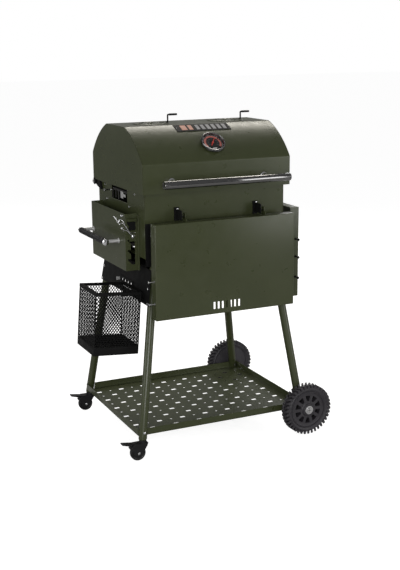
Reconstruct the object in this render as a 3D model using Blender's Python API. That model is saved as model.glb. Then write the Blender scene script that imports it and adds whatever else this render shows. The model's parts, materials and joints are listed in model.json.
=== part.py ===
"""Charcoal grill with a barrel lid, on a splayed-leg cart.

Metres, +Z up. The origin is on the ground under the centre of the overall box. The front is -Y and
the two large wheels are at +X. Every piece hangs from the empty "cart", and each moving piece from
an empty on its joint's axis. Sheet pieces that touch keep a gap of GAP.
"""

import math

import bmesh
import bpy
from mathutils import Matrix, Vector

# Driving dimensions
SHEET = 0.0015
GAP = 0.0004

LID_HALF_WIDTH = 0.266
LID_HALF_DEPTH = 0.2307
LID_LIP_Z = 0.869
LID_CREASE_Z = 0.964
LID_TOP_Z = 1.072
LID_FLAT_HALF = 0.084
LID_ARC_RISE = 0.0135
LID_PIVOT_Y = 0.222
LID_PIVOT_Z = 0.862
LID_PIN_RADIUS = 0.0050

BOX_HALF_WIDTH = 0.2535
BOX_HALF_DEPTH = 0.2107
BOX_TOP_Z = 0.880
BOX_BOTTOM_Z = 0.773
FLOOR_Z = 0.632
GRATE_Z = 0.848
GRATE_THICKNESS = 0.008
GRATE_SLOT_COUNT = 12
GRATE_BORDER = 0.010

CHARCOAL_TRAY_HALF_X = 0.240
CHARCOAL_TRAY_HALF_Y = 0.180
CHARCOAL_TRAY_BOTTOM_Z = 0.680
CHARCOAL_TRAY_TOP_Z = 0.715

LEG_RADIUS = 0.014
LEG_SEGMENTS = 16
LEG_FOOT_Z = 0.070
LEG_TOP_Z = 0.629
LEG_FOOT_X = {-1: 0.2979, 1: 0.3014}
LEG_FOOT_Y = 0.2638
LEG_SPLAY_X = 0.144
LEG_SPLAY_Y = 0.1193

TRAY_LEFT = -0.311
TRAY_RIGHT = 0.314
TRAY_HALF_DEPTH = 0.259
TRAY_Z = 0.079
TRAY_RIM = 0.0235
TRAY_COLUMNS = 14
TRAY_ROWS = 10
TRAY_PITCH_X = 0.0431
TRAY_PITCH_Y = 0.0457
TRAY_SLOT_HALF_LENGTH = 0.0105
TRAY_SLOT_HALF_WIDTH = 0.0055

WHEEL_X = 0.303
WHEEL_RADIUS = 0.089
WHEEL_INNER_Y = 0.281
WHEEL_OUTER_Y = 0.318
WHEEL_SEGMENTS = 32
WHEEL_POCKET_FLOOR = 0.012
RIM_RADIUS = 0.066
AXLE_RADIUS = 0.005
HUB_CAP_RADIUS = 0.015
HUB_CAP_HEIGHT = 0.005

CASTER_RADIUS = 0.026
CASTER_TRAIL = 0.0187
CASTER_HALF_WIDTH = 0.009
CASTER_CHEEK_Y = 0.0135
CASTER_PIN_RADIUS = 0.0030
PEDAL_BEHIND_HUB = 0.0214
PEDAL_Z = 0.0575
PEDAL_HALF_WIDTH = 0.0105

PANEL_BOTTOM_Z = 0.504
PANEL_TOP_Z = 0.620
DAMPER_Z = 0.545
DAMPER_PITCH = 0.026
DAMPER_HOLE_RADIUS = 0.0058
DAMPER_HOLE_COUNT = 4
DAMPER_OFFSET_Y = -0.013

ASH_PAN_HALF_X = 0.190
ASH_PAN_HALF_Y = 0.160
ASH_PAN_BOTTOM_Z = 0.530
ASH_PAN_LIP_Z = 0.6035
ASH_PAN_LIP_WIDTH = 0.012

LIFT_OUTER_X = -0.2985
LIFT_FRONT_Y = -0.154
LIFT_REAR_Y = 0.168
LIFT_BOTTOM_Z = 0.6126
LIFT_TOP_Z = 0.8002
LIFT_PIN_X = -0.276
LIFT_PIN_Z = 0.7280
LIFT_PIN_RADIUS = 0.003
LIFT_PIN_REACH = 0.022
LIFT_HANDLE_X = -0.3475
LIFT_HANDLE_Z = 0.7045
LIFT_HANDLE_FRONT_Y = -0.095
LIFT_HANDLE_REAR_Y = 0.150
LIFT_HANDLE_RADIUS = 0.0065
LIFT_SLOT_X = (-0.2660, -0.2800)
LIFT_SLOT_BOTTOM_Z = 0.6331
LIFT_NOTCH_X = -0.2905
LIFT_NOTCH_LEVELS = (0.7139, 0.6796, 0.6495)

SHELF_THICKNESS = 0.034
SHELF_TOP_Z = 0.7812
SHELF_BOTTOM_Z = 0.4700
SHELF_PIVOT_Z = 0.794
SHELF_PIVOT_DEPTH = 0.0402
FRONT_SHELF_HALF_WIDTH = 0.2515
FRONT_SHELF_Y = -0.2902
SIDE_SHELF_HALF_WIDTH = 0.186
SIDE_SHELF_X = 0.330
BRACKET_POSITIONS = (-0.143, 0.143)
SIDE_BRACKET_POSITIONS = (-0.120, 0.120)
SHELF_EAR_TOP_Z = 0.8050
SHELF_PIN_RADIUS = 0.0025
FRONT_PEG_LEVELS = (0.5978, 0.5248)
SIDE_PEG_LEVELS = (0.6697, 0.6079, 0.5357)

BASKET_LEAN = math.radians(4.5)
BASKET_INNER_X = -0.2605
BASKET_RIM_Z = 0.547
BASKET_WIDTH = 0.157
BASKET_HEIGHT = 0.209
BASKET_FRONT_Y = -0.190
BASKET_REAR_Y = -0.027

HANDLE_Y = -0.305
HANDLE_Z = 0.906
HANDLE_HALF_LENGTH = 0.2235
HANDLE_RADIUS = 0.0127
HANDLE_POST_X = 0.166

GAUGE_RADIUS = 0.041
GAUGE_DEPTH = 0.014
GAUGE_ARC_POSITION = 0.36
BADGE_HALF_LENGTH = 0.098
BADGE_HEIGHT = 0.044

VENT_X = 0.1375
VENT_RADIUS = 0.062
VENT_HOLE_COUNT = 6
VENT_HOLE_RING = 0.038
VENT_HOLE_RADIUS = 0.009
VENT_LEVER_HEIGHT = 0.030
VENT_GRIP_LENGTH = 0.031

BASKET_LEFT = (BASKET_INNER_X - BASKET_WIDTH * math.cos(BASKET_LEAN)
               - BASKET_HEIGHT * math.sin(BASKET_LEAN))
SHIFT_X = -(WHEEL_X + WHEEL_RADIUS + BASKET_LEFT) / 2

OLIVE = ("olive_paint", (0.050, 0.058, 0.030), 0.45, 0.0)
BLACK_PAINT = ("black_paint", (0.012, 0.012, 0.012), 0.5, 0.0)
CHROME = ("chrome", (0.75, 0.75, 0.75), 0.15, 1.0)
STEEL = ("brushed_steel", (0.45, 0.45, 0.45), 0.35, 1.0)
CAST_IRON = ("cast_iron", (0.02, 0.02, 0.02), 0.7, 0.2)
BLACK_PLASTIC = ("black_plastic", (0.015, 0.015, 0.017), 0.5, 0.0)
WHEEL_PLASTIC = ("wheel_plastic", (0.040, 0.037, 0.045), 0.55, 0.0)
DIAL_FACE = ("dial_face", (0.02, 0.02, 0.02), 0.4, 0.0)
NEEDLE_RED = ("needle_red", (0.45, 0.03, 0.02), 0.4, 0.0)

PIVOTS = {}


def leg_x(side, z):
    return side * (LEG_FOOT_X[side] - LEG_SPLAY_X * (z - LEG_FOOT_Z))


def leg_y(side, z):
    return side * (LEG_FOOT_Y - LEG_SPLAY_Y * (z - LEG_FOOT_Z))


def clear_scene():
    for obj in list(bpy.data.objects):
        bpy.data.objects.remove(obj, do_unlink=True)


def add_pivot(name, location, parent=None):
    """Adds an empty at a place given in the cart's own coordinates."""
    empty = bpy.data.objects.new(name, None)
    bpy.context.scene.collection.objects.link(empty)
    place = Vector(location)
    if parent is None:
        empty.location = place
        PIVOTS[name] = (empty, Vector((0, 0, 0)))
        return
    empty.parent, parent_place = PIVOTS[parent]
    empty.location = place - parent_place
    PIVOTS[name] = (empty, place)


def get_material(spec):
    name, color, roughness, metallic = spec
    material = bpy.data.materials.get(name)
    if material is None:
        material = bpy.data.materials.new(name)
        material.use_nodes = True
        shader = material.node_tree.nodes["Principled BSDF"]
        shader.inputs["Base Color"].default_value = (*color, 1.0)
        shader.inputs["Roughness"].default_value = roughness
        shader.inputs["Metallic"].default_value = metallic
    return material


def add_object(name, bm, spec, pivot="cart", smooth_angle=None):
    """Turns a bmesh drawn in the cart's coordinates into an object that hangs from a pivot."""
    bmesh.ops.recalc_face_normals(bm, faces=bm.faces[:])
    empty, place = PIVOTS[pivot]
    bmesh.ops.translate(bm, verts=bm.verts[:], vec=-place)
    mesh = bpy.data.meshes.new(name)
    bm.to_mesh(mesh)
    bm.free()
    obj = bpy.data.objects.new(name, mesh)
    bpy.context.scene.collection.objects.link(obj)
    obj.parent = empty
    if spec is not None:
        mesh.materials.append(get_material(spec))
    if smooth_angle is not None:
        mesh.shade_smooth()
        mesh.set_sharp_from_angle(angle=math.radians(smooth_angle))
    return obj


def combine(obj, tools, operation, pivot="cart"):
    """Cuts or unites a list of bmeshes with an object, through hidden helper objects."""
    for number, bm in enumerate(tools):
        helper = add_object(f"{obj.name}_tool_{operation.lower()}_{number}", bm, None, pivot)
        helper.hide_render = True
        helper.display_type = "WIRE"
        modifier = obj.modifiers.new(helper.name, "BOOLEAN")
        modifier.operation = operation
        modifier.solver = "EXACT"
        modifier.object = helper


def box(low, high, bm=None):
    bm = bm or bmesh.new()
    low, high = Vector(low), Vector(high)
    matrix = Matrix.Translation((low + high) / 2) @ Matrix.Diagonal((*(high - low), 1.0))
    bmesh.ops.create_cube(bm, size=1.0, matrix=matrix)
    return bm


def to_world(axis, u, v, w):
    """A point from its two in-plane coordinates and its place along the axis."""
    return {"X": (w, u, v), "Y": (u, w, v), "Z": (u, v, w)}[axis]


def prism(outline, axis, start, end, bm=None):
    """Extrudes a closed outline, given in the plane across the axis, from start to end."""
    bm = bm or bmesh.new()
    near = [bm.verts.new(to_world(axis, u, v, start)) for u, v in outline]
    far = [bm.verts.new(to_world(axis, u, v, end)) for u, v in outline]
    bm.faces.new(near)
    bm.faces.new(list(reversed(far)))
    count = len(outline)
    for i in range(count):
        j = (i + 1) % count
        bm.faces.new((near[i], far[i], far[j], near[j]))
    return bm


def turned(profile, centre, direction, segments, closed=False, bm=None):
    """Turns (radius, height) points round an axis. An open profile starts and ends at radius 0."""
    bm = bm or bmesh.new()
    up = Vector(direction).normalized()
    side = up.orthogonal().normalized()
    if abs(up.z) < 0.5:
        side = Vector((0, 0, -1)) - up * Vector((0, 0, -1)).dot(up)
        side.normalize()
    other = up.cross(side)
    centre = Vector(centre)
    rings = []
    for radius, height in profile:
        base = centre + up * height
        if radius == 0:
            rings.append([bm.verts.new(base)])
            continue
        ring = []
        for k in range(segments):
            angle = 2 * math.pi * k / segments
            ring.append(bm.verts.new(base + radius * (side * math.cos(angle) + other * math.sin(angle))))
        rings.append(ring)
    pairs = list(zip(rings, rings[1:]))
    if closed:
        pairs.append((rings[-1], rings[0]))
    for low, high in pairs:
        for k in range(segments):
            m = (k + 1) % segments
            if len(low) == 1:
                bm.faces.new((low[0], high[k], high[m]))
            elif len(high) == 1:
                bm.faces.new((low[k], high[0], low[m]))
            else:
                bm.faces.new((low[k], high[k], high[m], low[m]))
    return bm


def rod(start, end, radius, segments=16, bm=None):
    start, end = Vector(start), Vector(end)
    length = (end - start).length
    profile = [(0, 0), (radius, 0), (radius, length), (0, length)]
    return turned(profile, start, end - start, segments, bm=bm)


def open_pan(low, high, wall, open_side, bm=None):
    """A box with walls of one thickness and no wall on one side, such as "+Z"."""
    bm = bm or bmesh.new()
    low, high = Vector(low), Vector(high)
    axis = "XYZ".index(open_side[1])
    inner_low = low + Vector((wall, wall, wall))
    inner_high = high - Vector((wall, wall, wall))
    if open_side[0] == "+":
        inner_high[axis] = high[axis]
        face_sign = 1
    else:
        inner_low[axis] = low[axis]
        face_sign = 0
    corners = [(x, y, z) for x in (0, 1) for y in (0, 1) for z in (0, 1)]

    def make(a, b):
        return {c: bm.verts.new([(a, b)[c[i]][i] for i in range(3)]) for c in corners}

    outer, inner = make(low, high), make(inner_low, inner_high)
    for i in range(3):
        j, k = [n for n in range(3) if n != i]
        for value in (0, 1):
            loop = []
            for a, b in ((0, 0), (1, 0), (1, 1), (0, 1)):
                corner = [0, 0, 0]
                corner[i], corner[j], corner[k] = value, a, b
                loop.append(tuple(corner))
            if i == axis and value == face_sign:
                for n in range(4):
                    m = (n + 1) % 4
                    bm.faces.new((outer[loop[n]], outer[loop[m]], inner[loop[m]], inner[loop[n]]))
            else:
                bm.faces.new([outer[c] for c in loop])
                bm.faces.new([inner[c] for c in loop])
    return bm


def arc_points(start, end, rise, count):
    """Points on a circular arc between two places, bulging to the left of the way there."""
    start, end = Vector(start), Vector(end)
    chord = end - start
    half = chord.length / 2
    radius = (half * half + rise * rise) / (2 * rise)
    normal = Vector((-chord.y, chord.x)).normalized()
    centre = (start + end) / 2 - normal * (radius - rise)
    sweep = math.asin(half / radius)
    points = []
    for k in range(count + 1):
        angle = sweep * (1 - 2 * k / count)
        points.append(centre + radius * (normal * math.cos(angle) - chord.normalized() * math.sin(angle)))
    return points


def lid_outline(inset):
    """The lid's section in Y and Z, from the front lip over the top to the rear lip."""
    depth, top = LID_HALF_DEPTH - inset, LID_TOP_Z - inset
    crease = LID_CREASE_Z - inset * 0.33
    flat = LID_FLAT_HALF - inset * 0.16
    front = arc_points((-depth, crease), (-flat, top), LID_ARC_RISE, 10)
    front = [(-depth, LID_LIP_Z)] + [(p.x, p.y) for p in front]
    return front + [(-y, z) for y, z in reversed(front)]


def gauge_place():
    """The thermometer's centre on the lid's front arc, and the outward direction there."""
    start, end = Vector((-LID_HALF_DEPTH, LID_CREASE_Z)), Vector((-LID_FLAT_HALF, LID_TOP_Z))
    points = arc_points(start, end, LID_ARC_RISE, 100)
    index = round(GAUGE_ARC_POSITION * 100)
    along = (points[index + 1] - points[index - 1]).normalized()
    normal = Vector((0, -along.y, along.x))
    return Vector((0, points[index].x, points[index].y)), normal


def add_pivots():
    add_pivot("cart", (SHIFT_X, 0, 0))
    add_pivot("lid_pivot", (0, LID_PIVOT_Y, LID_PIVOT_Z), "cart")
    place, normal = gauge_place()
    add_pivot("needle_pivot", place + normal * GAUGE_DEPTH / 2, "lid_pivot")
    for side, name in ((-1, "left"), (1, "right")):
        add_pivot(f"vent_pivot_{name}", (side * VENT_X, 0, LID_TOP_Z), "lid_pivot")
    add_pivot("lift_slide", (LIFT_OUTER_X, 0, LIFT_BOTTOM_Z), "cart")
    add_pivot("front_shelf_pivot", (0, FRONT_SHELF_Y + SHELF_PIVOT_DEPTH, SHELF_PIVOT_Z), "cart")
    add_pivot("side_shelf_pivot", (SIDE_SHELF_X - SHELF_PIVOT_DEPTH, 0, SHELF_PIVOT_Z), "cart")
    add_pivot("damper_slide", (leg_x(-1, DAMPER_Z), 0, DAMPER_Z), "cart")
    add_pivot("ash_pan_slide", (0, 0, 0.57), "cart")
    for side, name in ((-1, "front"), (1, "rear")):
        add_pivot(f"wheel_pivot_{name}", (WHEEL_X, side * WHEEL_INNER_Y, WHEEL_RADIUS), "cart")
        stem_x, stem_y = leg_x(-1, LEG_FOOT_Z), leg_y(side, LEG_FOOT_Z)
        add_pivot(f"caster_swivel_{name}", (stem_x, stem_y, LEG_FOOT_Z), "cart")
        wheel_place = (stem_x - CASTER_TRAIL, stem_y, CASTER_RADIUS)
        add_pivot(f"caster_roll_{name}", wheel_place, f"caster_swivel_{name}")
        pedal_place = (wheel_place[0] - PEDAL_BEHIND_HUB, stem_y, PEDAL_Z)
        add_pivot(f"pedal_pivot_{name}", pedal_place, f"caster_swivel_{name}")


# Cart: legs, bottom shelf, wheels and casters

def leg_solid(side_x, side_y, outer, inner, bottom, top):
    """A splayed tube with level ends, or a solid bar where inner is 0."""
    bm = bmesh.new()
    rings = []
    levels = ((outer, bottom), (outer, top)) + (((inner, top), (inner, bottom)) if inner else ())
    for radius, z in levels:
        ring = []
        for k in range(LEG_SEGMENTS):
            angle = 2 * math.pi * k / LEG_SEGMENTS
            x = leg_x(side_x, z) + radius * math.cos(angle)
            y = leg_y(side_y, z) + radius * math.sin(angle)
            ring.append(bm.verts.new((x, y, z)))
        rings.append(ring)
    count = len(rings)
    for i in range(count if inner else count - 1):
        a, b = rings[i], rings[(i + 1) % count]
        for k in range(LEG_SEGMENTS):
            m = (k + 1) % LEG_SEGMENTS
            bm.faces.new((a[k], b[k], b[m], a[m]))
    if not inner:
        bm.faces.new(rings[0])
        bm.faces.new(list(reversed(rings[1])))
    return bm


def build_legs():
    for side_x, name_x in ((-1, "left"), (1, "right")):
        for side_y, name_y in ((-1, "front"), (1, "rear")):
            bm = leg_solid(side_x, side_y, LEG_RADIUS, LEG_RADIUS - SHEET, LEG_FOOT_Z, LEG_TOP_Z)
            leg = add_object(f"leg_{name_y}_{name_x}", bm, OLIVE, smooth_angle=40)
            if side_x > 0:
                start = (WHEEL_X, side_y * 0.20, WHEEL_RADIUS)
                end = (WHEEL_X, side_y * 0.35, WHEEL_RADIUS)
                combine(leg, [rod(start, end, AXLE_RADIUS + GAP)], "DIFFERENCE")


def build_bottom_shelf():
    low = (TRAY_LEFT, -TRAY_HALF_DEPTH, TRAY_Z)
    high = (TRAY_RIGHT, TRAY_HALF_DEPTH, TRAY_Z + TRAY_RIM)
    shelf = add_object("bottom_shelf", open_pan(low, high, SHEET, "+Z"), OLIVE)
    notches = []
    for side_x in (-1, 1):
        for side_y in (-1, 1):
            bm = leg_solid(side_x, side_y, LEG_RADIUS + 3 * GAP, 0, LEG_FOOT_Z, TRAY_Z + 2 * TRAY_RIM)
            notches.append(bm)
    slots = bmesh.new()
    for column in range(TRAY_COLUMNS):
        for row in range(TRAY_ROWS):
            x = (column - (TRAY_COLUMNS - 1) / 2) * TRAY_PITCH_X
            y = ((TRAY_ROWS - 1) / 2 - row) * TRAY_PITCH_Y
            if (column + row) % 2 == 0:
                low = (x - TRAY_SLOT_HALF_LENGTH, y - TRAY_SLOT_HALF_WIDTH, TRAY_Z - 0.005)
                high = (x + TRAY_SLOT_HALF_LENGTH, y + TRAY_SLOT_HALF_WIDTH, TRAY_Z + 0.008)
                box(low, high, slots)
    combine(shelf, notches + [slots], "DIFFERENCE")


def build_wheels():
    width = WHEEL_OUTER_Y - WHEEL_INNER_Y
    for side, name in ((-1, "front"), (1, "rear")):
        pivot = f"wheel_pivot_{name}"
        centre = PIVOTS[pivot][1]
        outward = (0, side, 0)
        tread = [(RIM_RADIUS + GAP, 0.004), (WHEEL_RADIUS - 0.006, 0.001), (WHEEL_RADIUS, 0.008),
                 (WHEEL_RADIUS, width - 0.008), (WHEEL_RADIUS - 0.006, width - 0.001),
                 (RIM_RADIUS + GAP, width - 0.004)]
        bm = turned(tread, centre, outward, WHEEL_SEGMENTS, closed=True)
        add_object(f"tyre_{name}", bm, WHEEL_PLASTIC, pivot, 40)
        bore = AXLE_RADIUS + 0.0001
        disc = [(bore, 0.0), (0.017, 0.0), (0.017, 0.003), (RIM_RADIUS - 0.006, 0.005),
                (RIM_RADIUS, 0.006), (RIM_RADIUS, width - 0.006), (RIM_RADIUS - 0.004, width - 0.003),
                (RIM_RADIUS - 0.008, width - 0.007), (0.022, width - 0.007), (0.017, width), (bore, width)]
        rim = add_object(f"wheel_{name}", turned(disc, centre, outward, WHEEL_SEGMENTS, closed=True),
                         WHEEL_PLASTIC, pivot, 40)
        windows = bmesh.new()
        for k in range(10):
            angle = 2 * math.pi * (k + 0.5) / 10
            outline = []
            for radius, half in ((0.030, 0.0046), (0.0495, 0.0095)):
                for sign in ((-1, 1) if radius < 0.04 else (1, -1)):
                    x = radius * math.cos(angle) - sign * half * math.sin(angle)
                    z = radius * math.sin(angle) + sign * half * math.cos(angle)
                    outline.append((centre.x + x, centre.z + z))
            prism(outline, "Y", centre.y + side * WHEEL_POCKET_FLOOR, centre.y + side * 0.05, windows)
        combine(rim, [windows], "DIFFERENCE", pivot)
        length = WHEEL_OUTER_Y + GAP - 0.246
        axle = [(0, 0), (AXLE_RADIUS, 0), (AXLE_RADIUS, length), (HUB_CAP_RADIUS, length),
                (HUB_CAP_RADIUS * 0.85, length + HUB_CAP_HEIGHT * 0.7), (0, length + HUB_CAP_HEIGHT)]
        start = (WHEEL_X, side * 0.246, WHEEL_RADIUS)
        add_object(f"axle_{name}", turned(axle, start, outward, 24), CHROME, smooth_angle=40)


def build_casters():
    for side, name in ((-1, "front"), (1, "rear")):
        stem = PIVOTS[f"caster_swivel_{name}"][1]
        hub = PIVOTS[f"caster_roll_{name}"][1]
        cheek = CASTER_CHEEK_Y
        outline = [(hub.x + 0.010, 0.0185), (hub.x + 0.0300, 0.0500), (stem.x + 0.0150, 0.0600),
                   (hub.x - 0.0164, 0.0600), (hub.x - 0.0274, 0.0430), (hub.x - 0.0130, 0.0210)]
        bm = prism(outline, "Y", hub.y - cheek, hub.y + cheek)
        housing = add_object(f"caster_housing_{name}", bm, BLACK_PLASTIC, f"caster_swivel_{name}")
        cavity_half = CASTER_HALF_WIDTH + 0.0016
        cavity = rod((hub.x, hub.y - cavity_half, hub.z), (hub.x, hub.y + cavity_half, hub.z),
                     CASTER_RADIUS + 0.0015, 24)
        bore = rod((hub.x, hub.y - 0.03, hub.z), (hub.x, hub.y + 0.03, hub.z), CASTER_PIN_RADIUS + 0.0002, 12)
        combine(housing, [cavity, bore], "DIFFERENCE", f"caster_swivel_{name}")
        collar = [(0, -0.013), (0.0125, -0.013), (0.0125, -0.0012), (0.007, -0.0012),
                  (0.007, 0.018), (0, 0.018)]
        combine(housing, [turned(collar, stem, (0, 0, 1), 16)], "UNION", f"caster_swivel_{name}")
        half = CASTER_HALF_WIDTH
        pin = CASTER_PIN_RADIUS
        profile = [(0, -cheek - 0.001), (pin, -cheek - 0.001), (pin, -half - 0.001),
                   (0.008, -half - 0.001), (0.008, -half), (CASTER_RADIUS - 0.002, -half),
                   (CASTER_RADIUS, -half + 0.003)]
        profile = profile + [(radius, -height) for radius, height in reversed(profile)]
        bm = turned(profile, hub, (0, 1, 0), 24)
        add_object(f"caster_wheel_{name}", bm, BLACK_PLASTIC, f"caster_roll_{name}", 40)
        pedal = PIVOTS[f"pedal_pivot_{name}"][1]
        outline = [(0.0035, 0.0035), (-0.0340, 0.0090), (-0.0352, 0.0050), (-0.0065, -0.0030),
                   (-0.0015, -0.0030)]
        outline = [(pedal.x + x, pedal.z + z) for x, z in outline]
        bm = prism(outline, "Y", hub.y - PEDAL_HALF_WIDTH, hub.y + PEDAL_HALF_WIDTH)
        add_object(f"brake_pedal_{name}", bm, BLACK_PLASTIC, f"pedal_pivot_{name}")


# Lower body: end panels, damper, ash pan and basket

def end_panel(side, offset, thickness, half_bottom, half_top, bottom, top):
    """A plate that leans with the legs, on their outer side."""
    bm = bmesh.new()
    vertices = []
    for z, half in ((bottom, half_bottom), (top, half_top)):
        near = leg_x(side, z) + side * (LEG_RADIUS + offset)
        for x in (near, near + side * thickness):
            for y in (-half, half):
                vertices.append(bm.verts.new((x, y, z)))
    for face in ((0, 1, 3, 2), (4, 5, 7, 6), (0, 1, 5, 4), (2, 3, 7, 6), (0, 2, 6, 4), (1, 3, 7, 5)):
        bm.faces.new([vertices[i] for i in face])
    return bm


def damper_holes(x):
    bm = bmesh.new()
    for k in range(DAMPER_HOLE_COUNT):
        y = 0.020 - k * DAMPER_PITCH
        rod((x - 0.02, y, DAMPER_Z), (x + 0.02, y, DAMPER_Z), DAMPER_HOLE_RADIUS, 8, bm)
    return bm


def build_end_panels():
    half_bottom = leg_y(1, PANEL_BOTTOM_Z) + LEG_RADIUS
    half_top = leg_y(1, PANEL_TOP_Z) + LEG_RADIUS
    for side, name in ((-1, "left"), (1, "right")):
        bm = end_panel(side, GAP, SHEET, half_bottom, half_top, PANEL_BOTTOM_Z, PANEL_TOP_Z)
        panel = add_object(f"end_panel_{name}", bm, BLACK_PAINT)
        if side < 0:
            x = leg_x(side, DAMPER_Z) - LEG_RADIUS
            slot = box((x - 0.02, -0.066, 0.5240), (x + 0.02, 0.021, 0.5285))
            combine(panel, [damper_holes(x), slot], "DIFFERENCE")
    x = leg_x(-1, DAMPER_Z) - LEG_RADIUS
    low, high = DAMPER_Z - 0.0115, DAMPER_Z + 0.0115
    bm = end_panel(-1, 2 * GAP + SHEET, SHEET, 0.062, 0.062, low, high)
    bmesh.ops.translate(bm, verts=bm.verts[:], vec=(0, DAMPER_OFFSET_Y, 0))
    damper = add_object("air_damper", bm, BLACK_PAINT, "damper_slide")
    combine(damper, [damper_holes(x)], "DIFFERENCE", "damper_slide")
    tab = box((x - 0.014, 0.040, DAMPER_Z - 0.004), (x - 0.0030, 0.0415, DAMPER_Z + 0.004))
    combine(damper, [tab], "UNION", "damper_slide")


def build_ash_pan():
    half_x, half_y, lip_z = ASH_PAN_HALF_X, ASH_PAN_HALF_Y, ASH_PAN_LIP_Z
    bm = open_pan((-half_x, -half_y, ASH_PAN_BOTTOM_Z), (half_x, half_y, lip_z), SHEET, "+Z")
    pan = add_object("ash_pan", bm, STEEL, "ash_pan_slide")
    lips = []
    for side in (-1, 1):
        inner, outer = side * (half_x - SHEET / 2), side * (half_x + ASH_PAN_LIP_WIDTH)
        lips.append(box((min(inner, outer), -half_y, lip_z - SHEET), (max(inner, outer), half_y, lip_z)))
    lips.append(box((-0.045, half_y - SHEET / 2, 0.5750), (0.045, half_y + 0.022, 0.5750 + SHEET)))
    combine(pan, lips, "UNION", "ash_pan_slide")


def build_basket():
    width, height = BASKET_WIDTH, BASKET_HEIGHT
    bm = open_pan((-width, BASKET_FRONT_Y, -height), (0, BASKET_REAR_Y, 0), 0.002, "+Z")
    lean = Matrix.Translation((BASKET_INNER_X, 0, BASKET_RIM_Z)) @ Matrix.Rotation(BASKET_LEAN, 4, "Y")
    bmesh.ops.transform(bm, matrix=lean, verts=bm.verts[:])
    basket = add_object("side_basket", bm, BLACK_PAINT)
    hooks = []
    hook_bottom = BASKET_RIM_Z - 0.025
    reach = leg_x(-1, hook_bottom) - LEG_RADIUS - SHEET - 3 * GAP
    for y in (BASKET_FRONT_Y + 0.020, BASKET_FRONT_Y + 0.090):
        low = (BASKET_INNER_X - 0.0010, y, hook_bottom)
        hooks.append(box(low, (reach, y + 0.012, BASKET_RIM_Z - 0.003)))
    combine(basket, hooks, "UNION")


# Firebox

def build_lower_fire_box():
    half_y = BOX_HALF_DEPTH - SHEET - GAP
    half_x = BOX_HALF_WIDTH - SHEET - 2 * GAP
    outer = [(-half_y, 0.800), (-half_y, FLOOR_Z), (half_y, FLOOR_Z), (half_y, 0.800)]
    inner = [(half_y - SHEET, 0.800), (half_y - SHEET, FLOOR_Z + SHEET),
             (-half_y + SHEET, FLOOR_Z + SHEET), (-half_y + SHEET, 0.800)]
    lower = add_object("lower_fire_box", prism(outer + inner, "X", -half_x, half_x), BLACK_PAINT)
    slots = bmesh.new()
    for k in range(9):
        x = (k - 4) * 0.040
        box((x - 0.006, -0.130, FLOOR_Z - 0.01), (x + 0.006, 0.130, FLOOR_Z + 0.01), slots)
    combine(lower, [slots], "DIFFERENCE")
    rails = []
    for side in (-1, 1):
        outline = [(0.1955, 0.5985), (0.2065, 0.5985), (0.2065, FLOOR_Z + SHEET / 2),
                   (0.2050, FLOOR_Z + SHEET / 2), (0.2050, 0.6000), (0.1955, 0.6000)]
        rails.append(prism([(side * x, z) for x, z in outline], "Y", -0.160, 0.160))
    combine(lower, rails, "UNION")


def build_firebox_walls():
    inner_half = BOX_HALF_WIDTH - SHEET - GAP
    for side, name in ((-1, "front"), (1, "rear")):
        face = BOX_HALF_DEPTH
        ledge = GRATE_Z - GAP
        outline = [(face, BOX_BOTTOM_Z), (face, BOX_TOP_Z), (face - SHEET, BOX_TOP_Z), (face - SHEET, ledge),
                   (face - 0.018, ledge), (face - 0.018, ledge - SHEET), (face - SHEET, ledge - SHEET),
                   (face - SHEET, BOX_BOTTOM_Z)]
        bm = prism([(side * y, z) for y, z in outline], "X", -inner_half, inner_half)
        add_object(f"firebox_{name}", bm, OLIVE)
    for side, name in ((-1, "left"), (1, "right")):
        low = (min(side * BOX_HALF_WIDTH, side * (BOX_HALF_WIDTH - SHEET)), -BOX_HALF_DEPTH, 0.6585)
        high = (max(side * BOX_HALF_WIDTH, side * (BOX_HALF_WIDTH - SHEET)), BOX_HALF_DEPTH, BOX_TOP_Z)
        end = add_object(f"firebox_end_{name}", box(low, high), OLIVE)
        if side < 0:
            x = -BOX_HALF_WIDTH
            notch = box((x - 0.01, -0.062, 0.8205), (x + 0.01, 0.0835, BOX_TOP_Z + 0.01))
            opening = box((x - 0.01, -0.125, 0.6685), (x + 0.01, 0.138, 0.7550))
            combine(end, [notch, opening], "DIFFERENCE")


def build_grates():
    half_y = BOX_HALF_DEPTH - SHEET - 0.003
    for side, name in ((-1, "left"), (1, "right")):
        inner, outer = side * 0.0015, side * (BOX_HALF_WIDTH - SHEET - 0.003)
        low_x, high_x = min(inner, outer), max(inner, outer)
        bm = box((low_x, -half_y, GRATE_Z), (high_x, half_y, GRATE_Z + GRATE_THICKNESS))
        grate = add_object(f"cooking_grate_{name}", bm, CAST_IRON)
        slots = bmesh.new()
        pitch = (high_x - low_x - 2 * GRATE_BORDER) / GRATE_SLOT_COUNT
        reach = half_y / 2 - GRATE_BORDER * 0.8
        for k in range(GRATE_SLOT_COUNT):
            x = low_x + GRATE_BORDER + (k + 0.5) * pitch
            for centre_y in (-half_y / 2, half_y / 2):
                box((x - pitch * 0.31, centre_y - reach, GRATE_Z - 0.01),
                    (x + pitch * 0.31, centre_y + reach, GRATE_Z + 0.03), slots)
        combine(grate, [slots], "DIFFERENCE")


# Charcoal lift

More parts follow.
